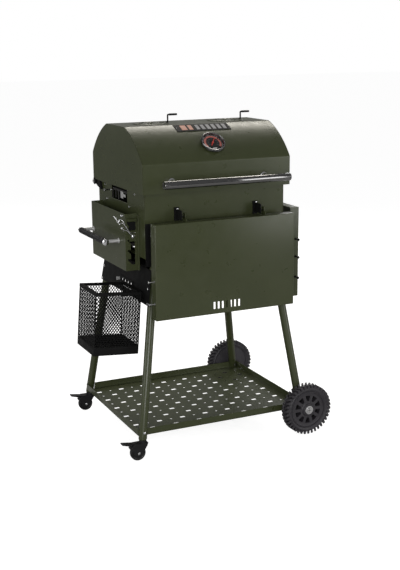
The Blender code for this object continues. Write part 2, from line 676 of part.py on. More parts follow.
def build_lift():
    pivot = "lift_slide"
    inner_x = -BOX_HALF_WIDTH - 0.0015
    low = (LIFT_OUTER_X, LIFT_FRONT_Y, LIFT_BOTTOM_Z)
    bm = open_pan(low, (inner_x, LIFT_REAR_Y, LIFT_TOP_Z + 0.05), SHEET, "+X")
    lift = add_object("lift_box", bm, OLIVE, pivot)
    trim = box((LIFT_OUTER_X - 0.01, LIFT_FRONT_Y - 0.01, LIFT_TOP_Z),
               (inner_x + 0.01, LIFT_REAR_Y + 0.01, LIFT_TOP_Z + 0.1))
    top = LIFT_PIN_Z + LIFT_PIN_RADIUS + GAP
    near, far = LIFT_SLOT_X
    slot = [(near, top), (far, top)]
    for z in LIFT_NOTCH_LEVELS:
        slot += [(far, z + 0.002), (LIFT_NOTCH_X, z + 0.002), (LIFT_NOTCH_X, z - 0.002), (far, z - 0.012)]
    slot += [(far, LIFT_SLOT_BOTTOM_Z), (near, LIFT_SLOT_BOTTOM_Z)]
    slots = prism(slot, "Y", LIFT_FRONT_Y - 0.01, LIFT_REAR_Y + 0.01)
    combine(lift, [trim, slots], "DIFFERENCE", pivot)
    build_charcoal_tray()
    build_lift_handle()


def build_charcoal_tray():
    pivot = "lift_slide"
    half_x, half_y = CHARCOAL_TRAY_HALF_X, CHARCOAL_TRAY_HALF_Y
    bottom = CHARCOAL_TRAY_BOTTOM_Z
    bm = open_pan((-half_x, -half_y, bottom), (half_x, half_y, CHARCOAL_TRAY_TOP_Z), 0.002, "+Z")
    tray = add_object("charcoal_tray", bm, STEEL, pivot)
    slots = bmesh.new()
    for k in range(12):
        x = (k - 5.5) * 0.036
        box((x - 0.007, -0.150, bottom - 0.01), (x + 0.007, 0.150, bottom + 0.01), slots)
    combine(tray, [slots], "DIFFERENCE", pivot)
    arms = []
    for y in (-0.090, 0.100):
        low = (LIFT_OUTER_X + SHEET + GAP, y - 0.010, bottom + 0.004)
        arms.append(box(low, (-half_x + 0.0010, y + 0.010, bottom + 0.012)))
    combine(tray, arms, "UNION", pivot)


def build_lift_handle():
    pivot = "lift_slide"
    x, z = LIFT_HANDLE_X, LIFT_HANDLE_Z
    front, rear = LIFT_HANDLE_FRONT_Y, LIFT_HANDLE_REAR_Y
    bar = rod((x, front - 0.006, z), (x, rear + 0.010, z), LIFT_HANDLE_RADIUS)
    handle = add_object("lift_handle", bar, CHROME, pivot, 40)
    cap = [(0, 0), (0.0105, 0), (0.0115, 0.002), (0.0115, 0.0055), (0, 0.0055)]
    posts = [turned(cap, (x, front - 0.0105, z), (0, 1, 0), 24)]
    for y in (front, rear):
        posts.append(rod((x, y, z), (LIFT_OUTER_X - GAP, y, z), 0.0060))
    combine(handle, posts, "UNION", pivot)
    length = rear - front - 0.016
    inner, outer = LIFT_HANDLE_RADIUS + GAP, 0.0105
    sleeve = [(inner, 0), (outer, 0), (outer, length), (inner, length)]
    bm = turned(sleeve, (x, front + 0.008, z), (0, 1, 0), 24, closed=True)
    add_object("lift_grip", bm, BLACK_PLASTIC, pivot, 40)


def build_lift_guides():
    for side, name in ((-1, "front"), (1, "rear")):
        near = LIFT_FRONT_Y - 0.002 if side < 0 else LIFT_REAR_Y + 0.002
        low_y, high_y = min(near, near + side * 0.009), max(near, near + side * 0.009)
        x = -BOX_HALF_WIDTH - GAP
        guide = add_object(f"lift_guide_{name}", box((x - 0.004, low_y, 0.6130), (x, high_y, 0.7950)), OLIVE)
        ear_y = sorted((near, near + side * 0.0020))
        ear = box((LIFT_PIN_X - 0.010, ear_y[0], 0.7100), (x - 0.002, ear_y[1], 0.7460))
        combine(guide, [ear], "UNION")
        bore = rod((LIFT_PIN_X, near - 0.02, LIFT_PIN_Z), (LIFT_PIN_X, near + 0.02, LIFT_PIN_Z),
                   LIFT_PIN_RADIUS + 0.0003, 12)
        combine(guide, [bore], "DIFFERENCE")
        start = (LIFT_PIN_X, near + side * 0.010, LIFT_PIN_Z)
        end = (LIFT_PIN_X, near - side * LIFT_PIN_REACH, LIFT_PIN_Z)
        add_object(f"lift_pin_{name}", rod(start, end, LIFT_PIN_RADIUS, 12), CHROME, smooth_angle=40)
    add_wire_clip()


def add_wire_clip():
    """The bent wire clip beside the lift's front guide, as a bevelled curve."""
    empty, place = PIVOTS["cart"]
    y = LIFT_FRONT_Y - 0.0062
    points = [(-0.2615, 0.7332), (-0.2690, 0.7334), (-0.2780, 0.7336), (-0.2850, 0.7400), (-0.2920, 0.7520),
              (-0.3010, 0.7640), (-0.3120, 0.7760), (-0.3240, 0.7830), (-0.3360, 0.7920)]
    curve = bpy.data.curves.new("lift_clip", "CURVE")
    curve.dimensions = "3D"
    curve.bevel_depth = 0.0016
    curve.bevel_resolution = 2
    curve.use_fill_caps = True
    spline = curve.splines.new("POLY")
    spline.points.add(len(points) - 1)
    for point, (x, z) in zip(spline.points, points):
        point.co = (x, y, z, 1.0)
    curve.materials.append(get_material(CHROME))
    clip = bpy.data.objects.new("lift_clip", curve)
    bpy.context.scene.collection.objects.link(clip)
    clip.parent = empty


# Folding shelves

def build_front_shelf():
    pivot = "front_shelf_pivot"
    half = FRONT_SHELF_HALF_WIDTH
    y = FRONT_SHELF_Y
    bm = open_pan((-half, y, SHELF_BOTTOM_Z), (half, y + SHELF_THICKNESS, SHELF_TOP_Z), SHEET, "+Y")
    shelf = add_object("front_shelf", bm, OLIVE, pivot)
    slots = bmesh.new()
    for k in range(7):
        x = (k - 3) * 0.015
        box((x - 0.0035, y - 0.01, 0.4870), (x + 0.0035, y + 0.01, 0.5110), slots)
    pivot_y = PIVOTS[pivot][1].y
    additions = []
    for x in BRACKET_POSITIONS:
        low = (x + 0.0110, pivot_y - 0.0080, SHELF_TOP_Z - 0.0010)
        ear = box(low, (x + 0.0130, pivot_y + 0.0090, SHELF_EAR_TOP_Z))
        root = box((x + 0.0110, y + SHELF_THICKNESS - 0.012, SHELF_TOP_Z - 0.0010),
                   (x + 0.0130, pivot_y - 0.0070, SHELF_EAR_TOP_Z - 0.017))
        additions += [ear, root]
    for z in FRONT_PEG_LEVELS:
        additions.append(hook_solid((-half + SHEET / 2, y + 0.012, z), (-1, 0, 0)))
    combine(shelf, [slots], "DIFFERENCE", pivot)
    combine(shelf, additions, "UNION", pivot)
    for x, name in zip(BRACKET_POSITIONS, ("left", "right")):
        wall = -BOX_HALF_DEPTH - GAP
        base = box((x - 0.008, wall - 0.0030, 0.7760), (x + 0.0095, wall, 0.8200))
        bracket = add_object(f"front_shelf_bracket_{name}", base, BLACK_PAINT)
        arm = box((x - 0.0020, pivot_y - 0.0065, 0.7835), (x + 0.0010, wall - 0.0010, 0.8150))
        pin = rod((x - 0.0010, pivot_y, SHELF_PIVOT_Z), (x + 0.0095, pivot_y, SHELF_PIVOT_Z),
                  SHELF_PIN_RADIUS, 12)
        combine(bracket, [arm, pin], "UNION")


def hook_solid(start, direction):
    """A headed tool peg that stands 22 mm off a flange."""
    profile = [(0, 0), (0.0022, 0), (0.0022, 0.0195), (0.0046, 0.0195), (0.0046, 0.0222), (0, 0.0222)]
    return turned(profile, start, direction, 12)


def build_side_shelf():
    pivot = "side_shelf_pivot"
    half = SIDE_SHELF_HALF_WIDTH
    x = SIDE_SHELF_X
    bm = open_pan((x - SHELF_THICKNESS, -half, SHELF_BOTTOM_Z - 0.004), (x, half, SHELF_TOP_Z), SHEET, "-X")
    shelf = add_object("side_shelf", bm, OLIVE, pivot)
    pivot_x = PIVOTS[pivot][1].x
    additions = []
    for y in SIDE_BRACKET_POSITIONS:
        ear = box((pivot_x - 0.0090, y + 0.0110, SHELF_TOP_Z - 0.0010),
                  (pivot_x + 0.0080, y + 0.0130, SHELF_EAR_TOP_Z))
        root = box((pivot_x + 0.0070, y + 0.0110, SHELF_TOP_Z - 0.0010),
                   (x - SHELF_THICKNESS + 0.012, y + 0.0130, SHELF_EAR_TOP_Z - 0.017))
        additions += [ear, root]
    for z in SIDE_PEG_LEVELS:
        additions.append(hook_solid((x - 0.012, -half + SHEET / 2, z), (0, -1, 0)))
    combine(shelf, additions, "UNION", pivot)
    for y, name in zip(SIDE_BRACKET_POSITIONS, ("front", "rear")):
        wall = BOX_HALF_WIDTH + GAP
        base = box((wall, y - 0.008, 0.7760), (wall + 0.0030, y + 0.0095, 0.8200))
        bracket = add_object(f"side_shelf_bracket_{name}", base, BLACK_PAINT)
        arm = box((wall + 0.0010, y - 0.0020, 0.7835), (pivot_x + 0.0065, y + 0.0010, 0.8150))
        pin = rod((pivot_x, y - 0.0010, SHELF_PIVOT_Z), (pivot_x, y + 0.0095, SHELF_PIVOT_Z),
                  SHELF_PIN_RADIUS, 12)
        combine(bracket, [arm, pin], "UNION")


# Lid

def build_lid_shell():
    pivot = "lid_pivot"
    half = LID_HALF_WIDTH - SHEET - GAP
    outline = lid_outline(0.0) + list(reversed(lid_outline(SHEET)))
    shell = add_object("lid_shell", prism(outline, "X", -half, half), OLIVE, pivot, 12)
    holes = bmesh.new()
    for side in (-1, 1):
        for k in range(VENT_HOLE_COUNT):
            angle = 2 * math.pi * k / VENT_HOLE_COUNT
            x = side * VENT_X + VENT_HOLE_RING * math.cos(angle)
            y = VENT_HOLE_RING * math.sin(angle)
            rod((x, y, LID_TOP_Z - 0.01), (x, y, LID_TOP_Z + 0.01), VENT_HOLE_RADIUS, 8, holes)
    combine(shell, [holes], "DIFFERENCE", pivot)
    for side, name in ((-1, "left"), (1, "right")):
        bm = prism(lid_outline(0.0), "X", side * LID_HALF_WIDTH, side * (LID_HALF_WIDTH - SHEET))
        end = add_object(f"lid_end_{name}", bm, OLIVE, pivot)
        ear = rod((side * LID_HALF_WIDTH, LID_PIVOT_Y, LID_PIVOT_Z),
                  (side * (LID_HALF_WIDTH - SHEET), LID_PIVOT_Y, LID_PIVOT_Z), 0.0125, 20)
        combine(end, [ear], "UNION", pivot)
        bore = rod((side * 0.2, LID_PIVOT_Y, LID_PIVOT_Z), (side * 0.3, LID_PIVOT_Y, LID_PIVOT_Z),
                   LID_PIN_RADIUS + 2 * GAP, 16)
        combine(end, [bore], "DIFFERENCE", pivot)


def build_lid_hinges():
    """Hinge brackets bolted to the firebox's ends, with the lid's pivot pins on them."""
    for side, name in ((-1, "left"), (1, "right")):
        wall = side * (BOX_HALF_WIDTH + GAP)
        face = side * (LID_HALF_WIDTH - SHEET - 0.0025)
        outline = [(0.170, 0.838), (0.205, 0.846), (0.2225, 0.8535), (0.2300, 0.8580), (0.2308, 0.8625),
                   (0.2280, 0.8675), (0.2220, 0.8685), (0.1800, 0.8680)]
        bracket = add_object(f"lid_hinge_{name}", prism(outline, "X", wall, face), BLACK_PAINT)
        pin = rod((face - side * 0.002, LID_PIVOT_Y, LID_PIVOT_Z),
                  (side * (LID_HALF_WIDTH + 0.004), LID_PIVOT_Y, LID_PIVOT_Z), LID_PIN_RADIUS, 16)
        combine(bracket, [pin], "UNION")


def build_lid_handle():
    pivot = "lid_pivot"
    x, y, z = HANDLE_HALF_LENGTH, HANDLE_Y, HANDLE_Z
    add_object("lid_handle", rod((-x, y, z), (x, y, z), HANDLE_RADIUS, 32), CHROME, pivot, 40)
    length = -LID_HALF_DEPTH - GAP - (y + HANDLE_RADIUS + GAP)
    for side, name in ((-1, "left"), (1, "right")):
        post = [(0, 0), (0.0115, 0), (0.0115, 0.0025), (0.0085, 0.0045), (0.0062, 0.0060),
                (0.0062, length), (0, length)]
        start = (side * HANDLE_POST_X, -LID_HALF_DEPTH - GAP, z)
        add_object(f"lid_handle_post_{name}", turned(post, start, (0, -1, 0), 24), CHROME, pivot, 40)


def build_gauge():
    place, normal = gauge_place()
    radius, depth = GAUGE_RADIUS, GAUGE_DEPTH
    base = place + normal * 0.0008
    case = [(0, 0), (radius * 0.86, 0), (radius, 0.004), (radius, depth - 0.0015), (radius - 0.0015, depth),
            (radius - 0.0045, depth - 0.0010), (radius - 0.0045, 0.0045), (0, 0.0045)]
    add_object("thermometer_case", turned(case, base, normal, 40), STEEL, "lid_pivot", 40)
    dial = [(0, 0), (radius - 0.0050, 0), (radius - 0.0050, 0.0010), (0, 0.0010)]
    add_object("thermometer_dial", turned(dial, base + normal * 0.0049, normal, 40), DIAL_FACE, "lid_pivot")
    side = Vector((1, 0, 0))
    up = normal.cross(side)
    up = up if up.z > 0 else -up
    pointer = (side * 0.55 + up * 0.83).normalized()
    across = normal.cross(pointer)
    bm = bmesh.new()
    outline = [(-0.011, -0.0016), (0.022, -0.0009), (0.0255, 0.0), (0.022, 0.0009), (-0.011, 0.0016)]
    level = [base + normal * h for h in (0.0066, 0.0074)]
    rings = [[bm.verts.new(centre + pointer * u + across * v) for u, v in outline] for centre in level]
    bm.faces.new(rings[0])
    bm.faces.new(list(reversed(rings[1])))
    for k in range(len(outline)):
        m = (k + 1) % len(outline)
        bm.faces.new((rings[0][k], rings[1][k], rings[1][m], rings[0][m]))
    needle = add_object("thermometer_needle", bm, NEEDLE_RED, "needle_pivot")
    hub = [(0, 0), (0.0035, 0), (0.0030, 0.0022), (0, 0.0022)]
    combine(needle, [turned(hub, base + normal * 0.0063, normal, 16)], "UNION", "needle_pivot")


def build_badge():
    start, end = Vector((-LID_HALF_DEPTH, LID_CREASE_Z)), Vector((-LID_FLAT_HALF, LID_TOP_Z))
    points = arc_points(start, end, LID_ARC_RISE, 100)
    length = (points[1] - points[0]).length
    count = round(BADGE_HEIGHT / length)
    outer = []
    inner = []
    for index in range(97 - count, 98, 4):
        along = (points[index + 1] - points[index - 1]).normalized()
        normal = Vector((-along.y, along.x))
        inner.append(points[index] + normal * 0.0006)
        outer.append(points[index] + normal * 0.0022)
    outline = [(p.x, p.y) for p in outer] + [(p.x, p.y) for p in reversed(inner)]
    bm = prism(outline, "X", -BADGE_HALF_LENGTH, BADGE_HALF_LENGTH)
    add_object("badge_plate", bm, STEEL, "lid_pivot", 40)


def build_vents():
    for side, name in ((-1, "left"), (1, "right")):
        pivot = f"vent_pivot_{name}"
        x = side * VENT_X
        base = LID_TOP_Z + GAP
        thickness = 0.0014
        disc = [(0, 0), (VENT_RADIUS, 0), (VENT_RADIUS, thickness), (0.0070, thickness),
                (0.0062, 0.0045), (0, 0.0052)]
        vent = add_object(f"vent_disc_{name}", turned(disc, (x, 0, base), (0, 0, 1), 36), OLIVE, pivot, 40)
        holes = bmesh.new()
        for k in range(VENT_HOLE_COUNT):
            angle = 2 * math.pi * k / VENT_HOLE_COUNT
            hole_x = x + VENT_HOLE_RING * math.cos(angle)
            hole_y = VENT_HOLE_RING * math.sin(angle)
            rod((hole_x, hole_y, base - 0.005), (hole_x, hole_y, base + 0.01), VENT_HOLE_RADIUS, 8, holes)
        combine(vent, [holes], "DIFFERENCE", pivot)
        lever_x = x + VENT_RADIUS - 0.004
        top = base + VENT_LEVER_HEIGHT
        lever = rod((lever_x, 0, base + thickness / 2), (lever_x, 0, top), 0.0022, 12)
        bar = rod((lever_x - 0.0035, 0, top - 0.0030), (lever_x + 0.0060, 0, top - 0.0030), 0.0020, 12)
        combine(vent, [lever, bar], "UNION", pivot)
        start = lever_x + 0.0060 + GAP
        grip = [(0, 0), (0.0026, 0), (0.0036, 0.0015), (0.0036, VENT_GRIP_LENGTH - 0.0015),
                (0.0026, VENT_GRIP_LENGTH), (0, VENT_GRIP_LENGTH)]
        bm = turned(grip, (start, 0, top - 0.0030), (1, 0, 0), 16)
        add_object(f"vent_grip_{name}", bm, BLACK_PLASTIC, pivot, 40)


def main():
    clear_scene()
    add_pivots()
    build_legs()
    build_bottom_shelf()
    build_wheels()
    build_casters()
    build_end_panels()
    build_ash_pan()
    build_basket()
    build_lower_fire_box()
    build_firebox_walls()
    build_grates()
    build_lift()
    build_lift_guides()
    build_front_shelf()
    build_side_shelf()
    build_lid_shell()
    build_lid_hinges()
    build_lid_handle()
    build_gauge()
    build_badge()
    build_vents()


main()
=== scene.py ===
"""The looks of the charcoal grill cart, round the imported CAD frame.

Metres, +Z up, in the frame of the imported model. Most shapes are drawn in cart coordinates, whose
X = 0 is the lid's centre, and frame_mesh moves them to the frame.
"""

import json
import math

import bmesh
import bpy
from mathutils import Matrix, Vector


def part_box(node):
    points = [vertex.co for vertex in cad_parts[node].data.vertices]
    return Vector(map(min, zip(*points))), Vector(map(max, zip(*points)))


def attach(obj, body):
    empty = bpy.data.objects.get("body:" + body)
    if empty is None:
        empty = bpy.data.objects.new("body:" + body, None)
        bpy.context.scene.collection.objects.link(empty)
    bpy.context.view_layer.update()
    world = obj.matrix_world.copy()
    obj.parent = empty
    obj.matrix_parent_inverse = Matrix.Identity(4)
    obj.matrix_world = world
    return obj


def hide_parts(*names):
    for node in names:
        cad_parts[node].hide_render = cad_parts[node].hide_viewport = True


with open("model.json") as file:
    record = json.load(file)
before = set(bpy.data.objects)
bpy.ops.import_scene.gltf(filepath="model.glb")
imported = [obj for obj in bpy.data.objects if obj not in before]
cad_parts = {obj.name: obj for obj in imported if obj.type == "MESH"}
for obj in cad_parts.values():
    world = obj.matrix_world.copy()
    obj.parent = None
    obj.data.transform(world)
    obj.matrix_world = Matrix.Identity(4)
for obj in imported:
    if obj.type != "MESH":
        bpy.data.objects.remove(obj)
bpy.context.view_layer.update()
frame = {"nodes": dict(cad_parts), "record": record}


def node_box(name):
    """A node's lowest and highest corner as two vectors."""
    low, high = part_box(name)
    return Vector(low), Vector(high)


LID_LOW, LID_HIGH = node_box("lid_shell")
SHIFT_X = (LID_LOW.x + LID_HIGH.x) / 2
SHEET = 0.0015
GAP = 0.0004

# An edge between faces that meet at more than this angle is shaded sharp
SHARP_ANGLE = math.radians(32)
PAN_SHARP_ANGLE = math.radians(40)
LID_SHARP_ANGLE = math.radians(24)

# The lid's section
LID_HALF_WIDTH = node_box("lid_end_right")[1].x - SHIFT_X
LID_HALF_DEPTH = LID_HIGH.y
LID_LIP_Z = LID_LOW.z
LID_TOP_Z = LID_HIGH.z
LID_CREASE_Z = 0.964
LID_FLAT_HALF = 0.084
LID_ARC_RISE = 0.0135
LID_PIVOT_Y = 0.222
LID_PIVOT_Z = 0.862
LID_RIVET_Z = 0.96
LID_RIVET_POSITIONS = (0.12, -0.15)

# Legs
LEG_RADIUS = 0.014
LEG_FOOT_Z = 0.07
LEG_TOP_Z = 0.629
LEG_FOOT_X = {-1: 0.2979, 1: 0.3014}
LEG_FOOT_Y = 0.2638
LEG_SPLAY_X = 0.144
LEG_SPLAY_Y = 0.1193
LEG_BOLT_LEVELS = (0.557, 0.5105)

# Bottom shelf
TRAY_LOW, TRAY_HIGH = node_box("bottom_shelf")
TRAY_COLUMNS = 14
TRAY_ROWS = 10
TRAY_PITCH_X = 0.0431
TRAY_PITCH_Y = 0.0457
SLOT_HALF_LENGTH = 0.0095
SLOT_HALF_WIDTH = 0.0066
SMALL_HOLE_RADIUS = 0.0042

# Wheels
WHEEL_X = 0.303
WHEEL_RADIUS = 0.089
WHEEL_INNER_Y = 0.281
WHEEL_WIDTH = 0.037
RIM_RADIUS = 0.066
LUG_COUNT = 38
LUG_SKEW = 0.09
WINDOW_COUNT = 10
WHEEL_POCKET_FLOOR = 0.012
CASTER_RADIUS = 0.026
CASTER_HALF_WIDTH = 0.009
CASTER_TRAIL = 0.0187

# Basket
BASKET_LEAN = math.radians(4.5)
BASKET_INNER_X = -0.2605
BASKET_RIM_Z = 0.547
BASKET_WIDTH = 0.157
BASKET_HEIGHT = 0.209
BASKET_FRONT_Y = -0.19
BASKET_REAR_Y = -0.027
BASKET_RIM_WIDTH = 0.01
BASKET_TRAY_HEIGHT = 0.027
MESH_WIDTH = 0.0098
MESH_HEIGHT = 0.0066
MESH_WIRE = 0.0024

# Shelves
SHELF_THICKNESS = 0.034
FRONT_LOW, FRONT_HIGH = node_box("front_shelf")
FRONT_SHELF_HALF_WIDTH = 0.2515
FRONT_SHELF_Y = FRONT_LOW.y
SHELF_TOP_Z = 0.7812
SHELF_BOTTOM_Z = FRONT_LOW.z
SHELF_EAR_TOP_Z = FRONT_HIGH.z
SHELF_PIVOT_DEPTH = 0.0402
SIDE_SHELF_X = 0.33
SIDE_SHELF_HALF_WIDTH = 0.186
BRACKET_POSITIONS = (-0.143, 0.143)
SIDE_BRACKET_POSITIONS = (-0.12, 0.12)
BRACKET_BOLT_LEVELS = (0.804, 0.814)
SHELF_EAR_NEAR = 0.011
SHELF_EAR_FAR = 0.013
SHELF_SLOT_COUNT = 7
SHELF_SLOT_PITCH = 0.015
FRONT_PEG_LEVELS = (0.5978, 0.5248)
SIDE_PEG_LEVELS = (0.6697, 0.6079, 0.5357)
PEG_LENGTH = 0.0222

# Handle, thermometer, badge and vents
HANDLE_Y = -0.305
HANDLE_Z = 0.906
HANDLE_HALF_LENGTH = 0.2235
HANDLE_RADIUS = 0.0127
HANDLE_POST_X = 0.166
GAUGE_RADIUS = 0.041
GAUGE_DEPTH = 0.014
GAUGE_ARC_POSITION = 0.36
BADGE_HALF_LENGTH = 0.098
BADGE_HEIGHT = 0.044
BADGE_ARC_STEPS = 200
BADGE_TOP_STEP = 194
BADGE_MARGIN_STEPS = 8
BADGE_BAR_COUNT = 6
BADGE_BAR_START = -0.024
BADGE_BAR_PITCH = 0.0195
BADGE_BAR_WIDTH = 0.0115
VENT_X = 0.1375
VENT_RADIUS = 0.062
VENT_HOLE_COUNT = 6
VENT_HOLE_RING = 0.038
VENT_HOLE_RADIUS = 0.009
VENT_LEVER_HEIGHT = 0.03
VENT_GRIP_LENGTH = 0.031

# Charcoal lift
LIFT_LOW, LIFT_HIGH = node_box("lift_box")
LIFT_OUTER_X = LIFT_LOW.x - SHIFT_X
LIFT_HANDLE_X = -0.3475
LIFT_HANDLE_Z = 0.7045
LIFT_HANDLE_FRONT_Y = -0.095
LIFT_HANDLE_REAR_Y = 0.15
BOX_HALF_WIDTH = 0.2535
BOX_HALF_DEPTH = 0.2107
WALL_BOLT_POSITIONS = (-0.082, 0.128)
WALL_BOLT_Z = 0.811


# Materials

def new_material(name, color, roughness, metallic=0.0):
    material = bpy.data.materials.new(name)
    material.use_nodes = True
    shader = material.node_tree.nodes["Principled BSDF"]
    shader.inputs["Base Color"].default_value = (*color, 1.0)
    shader.inputs["Roughness"].default_value = roughness
    shader.inputs["Metallic"].default_value = metallic
    return material, shader


def add_noise(material, scale, detail=3.0, stretch=(1, 1, 1)):
    """A noise value in object space, stretched along the axes."""
    tree = material.node_tree
    place = tree.nodes.new("ShaderNodeTexCoord")
    mapping = tree.nodes.new("ShaderNodeMapping")
    mapping.inputs["Scale"].default_value = stretch
    noise = tree.nodes.new("ShaderNodeTexNoise")
    noise.inputs["Scale"].default_value = scale
    noise.inputs["Detail"].default_value = detail
    tree.links.new(place.outputs["Object"], mapping.inputs["Vector"])
    tree.links.new(mapping.outputs["Vector"], noise.inputs["Vector"])
    return noise.outputs["Fac"]


def vary_color(material, shader, value, dark, light):
    tree = material.node_tree
    ramp = tree.nodes.new("ShaderNodeValToRGB")
    ramp.color_ramp.elements[0].position = 0.3
    ramp.color_ramp.elements[0].color = (*dark, 1.0)
    ramp.color_ramp.elements[1].position = 0.72
    ramp.color_ramp.elements[1].color = (*light, 1.0)
    tree.links.new(value, ramp.inputs["Fac"])
    tree.links.new(ramp.outputs["Color"], shader.inputs["Base Color"])


def vary_roughness(material, shader, value, low, high):
    tree = material.node_tree
    span = tree.nodes.new("ShaderNodeMapRange")
    span.inputs["From Min"].default_value = 0.3
    span.inputs["From Max"].default_value = 0.7
    span.inputs["To Min"].default_value = low
    span.inputs["To Max"].default_value = high
    tree.links.new(value, span.inputs["Value"])
    tree.links.new(span.outputs["Result"], shader.inputs["Roughness"])


def add_bump(material, shader, value, strength, distance):
    tree = material.node_tree
    bump = tree.nodes.new("ShaderNodeBump")
    bump.inputs["Strength"].default_value = strength
    bump.inputs["Distance"].default_value = distance
    tree.links.new(value, bump.inputs["Height"])
    tree.links.new(bump.outputs["Normal"], shader.inputs["Normal"])


def surface(name, dark, light, roughness, metallic=0.0, specular=0.5, anisotropic=0.0, patch=9.0,
            grain=700.0, bump=0.1, distance=0.0002, stretch=(1, 1, 1)):
    """A finish with slow colour patches, uneven gloss and a fine grain."""
    middle = [(a + b) / 2 for a, b in zip(dark, light)]
    material, shader = new_material(name, middle, sum(roughness) / 2, metallic)
    shader.inputs["Specular IOR Level"].default_value = specular
    shader.inputs["Anisotropic"].default_value = anisotropic
    vary_color(material, shader, add_noise(material, patch), dark, light)
    vary_roughness(material, shader, add_noise(material, patch * 4, 5.0, stretch), *roughness)
    add_bump(material, shader, add_noise(material, grain, 2.0, stretch), bump, distance)
    return material


def make_materials():
    """Every finish by its short name. Colours are linear RGB, from the darker to the lighter patches."""
    return {
        "olive": surface("olive_enamel", (0.0385, 0.0455, 0.018), (0.044, 0.0515, 0.021), (0.27, 0.34),
                         specular=0.42, grain=520.0, bump=0.04),
        "black": surface("black_enamel", (0.0042, 0.0042, 0.0042), (0.0058, 0.0057, 0.0056), (0.52, 0.64),
                         specular=0.12, bump=0.14),
        # bar: chrome for the handle bar, its colour darkened as painted shade for the dark surroundings that
        # the bar reflects
        "bar": surface("chrome_plate_painted_shade", (0.17, 0.17, 0.17), (0.21, 0.207, 0.205), (0.09, 0.14),
                       metallic=1.0, patch=25.0, bump=0.015, distance=0.0001),
        "chrome": surface("chrome_plate", (0.66, 0.66, 0.67), (0.74, 0.74, 0.75), (0.08, 0.16),
                          metallic=1.0, patch=25.0, bump=0.015, distance=0.0001),
        "steel": surface("brushed_steel", (0.36, 0.36, 0.36), (0.46, 0.46, 0.45), (0.26, 0.4),
                         metallic=1.0, anisotropic=0.35, grain=90.0, distance=0.0001, stretch=(1, 14, 14)),
        "case": surface("thermometer_case_steel", (0.2, 0.2, 0.205), (0.27, 0.27, 0.275), (0.22, 0.3),
                        metallic=1.0, patch=30.0, bump=0.04, distance=0.0001),
        "zinc": surface("zinc_plate", (0.46, 0.46, 0.46), (0.56, 0.56, 0.55), (0.34, 0.46),
                        metallic=0.5, patch=40.0, bump=0.05),
        "badge_black": surface("badge_black", (0.016, 0.016, 0.017), (0.024, 0.024, 0.025), (0.58, 0.68),
                               specular=0.12, patch=30.0, bump=0.04),
        "silver": surface("silver_print", (0.28, 0.28, 0.29), (0.36, 0.36, 0.37), (0.5, 0.6),
                          specular=0.15, patch=60.0, bump=0.04),
        "iron": surface("cast_iron_seasoned", (0.01, 0.0095, 0.009), (0.028, 0.026, 0.024), (0.55, 0.8),
                        metallic=0.2, patch=40.0, grain=420.0, bump=0.45, distance=0.0006),
        "plastic": surface("black_moulded_plastic", (0.006, 0.006, 0.0066), (0.009, 0.0089, 0.0096),
                           (0.42, 0.55), specular=0.3, grain=1500.0),
        "wheel": surface("grey_wheel_plastic", (0.021, 0.019, 0.023), (0.031, 0.028, 0.033), (0.48, 0.62),
                         patch=22.0, grain=1300.0, bump=0.16),
        "dial": surface("dial_print_black", (0.008, 0.008, 0.008), (0.011, 0.011, 0.011), (0.25, 0.32),
                        grain=2500.0, bump=0.03),
        "red": surface("red_paint", (0.42, 0.03, 0.022), (0.5, 0.045, 0.034), (0.3, 0.4),
                       grain=1800.0, bump=0.05),
        "zone": surface("zone_print_pink", (0.4, 0.12, 0.1), (0.48, 0.16, 0.135), (0.32, 0.42),
                        grain=1800.0, bump=0.04),
        "white": surface("dial_print_white", (0.62, 0.61, 0.59), (0.7, 0.69, 0.67), (0.35, 0.45),
                         grain=1800.0, bump=0.04),
        "copper": surface("copper_print", (0.56, 0.29, 0.22), (0.64, 0.35, 0.27), (0.5, 0.6),
                          specular=0.15, patch=60.0, bump=0.04),
        "soot": surface("sooted_steel", (0.018, 0.017, 0.016), (0.05, 0.047, 0.043), (0.5, 0.75),
                        metallic=0.5, patch=18.0, grain=260.0, bump=0.25, distance=0.0004),
    }


# Mesh helpers

def add_object(name, data):
    obj = bpy.data.objects.new(name, data)
    bpy.context.scene.collection.objects.link(obj)
    return obj


def frame_mesh(name, bm):
    """A mesh from a bmesh in cart coordinates, moved to the frame, with its faces turned outward."""
    bmesh.ops.recalc_face_normals(bm, faces=bm.faces[:])
    bmesh.ops.translate(bm, verts=bm.verts[:], vec=(SHIFT_X, 0, 0))
    mesh = bpy.data.meshes.new(name)
    bm.to_mesh(mesh)
    bm.free()
    return mesh


def piece(name, bm, material, body, slot, replaces=(), smooth=SHARP_ANGLE, bevel=0.0, segments=2):
    """Makes a finished object from a bmesh in cart coordinates and ties it to a CAD body."""
    return finish_piece(name, frame_mesh(name, bm), material, body, replaces, smooth, bevel, segments)


def finish_piece(name, mesh, material, body, replaces, smooth, bevel, segments):
    obj = add_object(name, mesh)
    mesh.materials.clear()
    mesh.materials.append(MATERIALS[material])
    mesh.shade_smooth()
    mesh.set_sharp_from_angle(angle=smooth)
    if bevel:
        edge = obj.modifiers.new("edge", "BEVEL")
        edge.width = bevel
        edge.segments = segments
        edge.limit_method = "ANGLE"
        edge.angle_limit = smooth
        edge.harden_normals = True
    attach(obj, body)
    if replaces:
        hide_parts(*replaces)
    return obj


def refined(node, material, bevel=0.0005, segments=2):
    """A CAD node's own shape with clean faces and rounded edges, shown in the node's place."""
    mesh = frame["nodes"][node].data.copy()
    bm = bmesh.new()
    bm.from_mesh(mesh)
    bmesh.ops.remove_doubles(bm, verts=bm.verts[:], dist=0.00001)
    bmesh.ops.dissolve_limit(bm, angle_limit=math.radians(1.0), verts=bm.verts[:], edges=bm.edges[:])
    bm.to_mesh(mesh)
    bm.free()
    finish_piece(f"{node}_finished", mesh, material, frame_body(node), (node,), SHARP_ANGLE, bevel,
                 segments)


def frame_body(node):
    for body, nodes in frame["record"]["behaviour"]["bodies"].items():
        if node in nodes:
            return body
    raise ValueError(node)


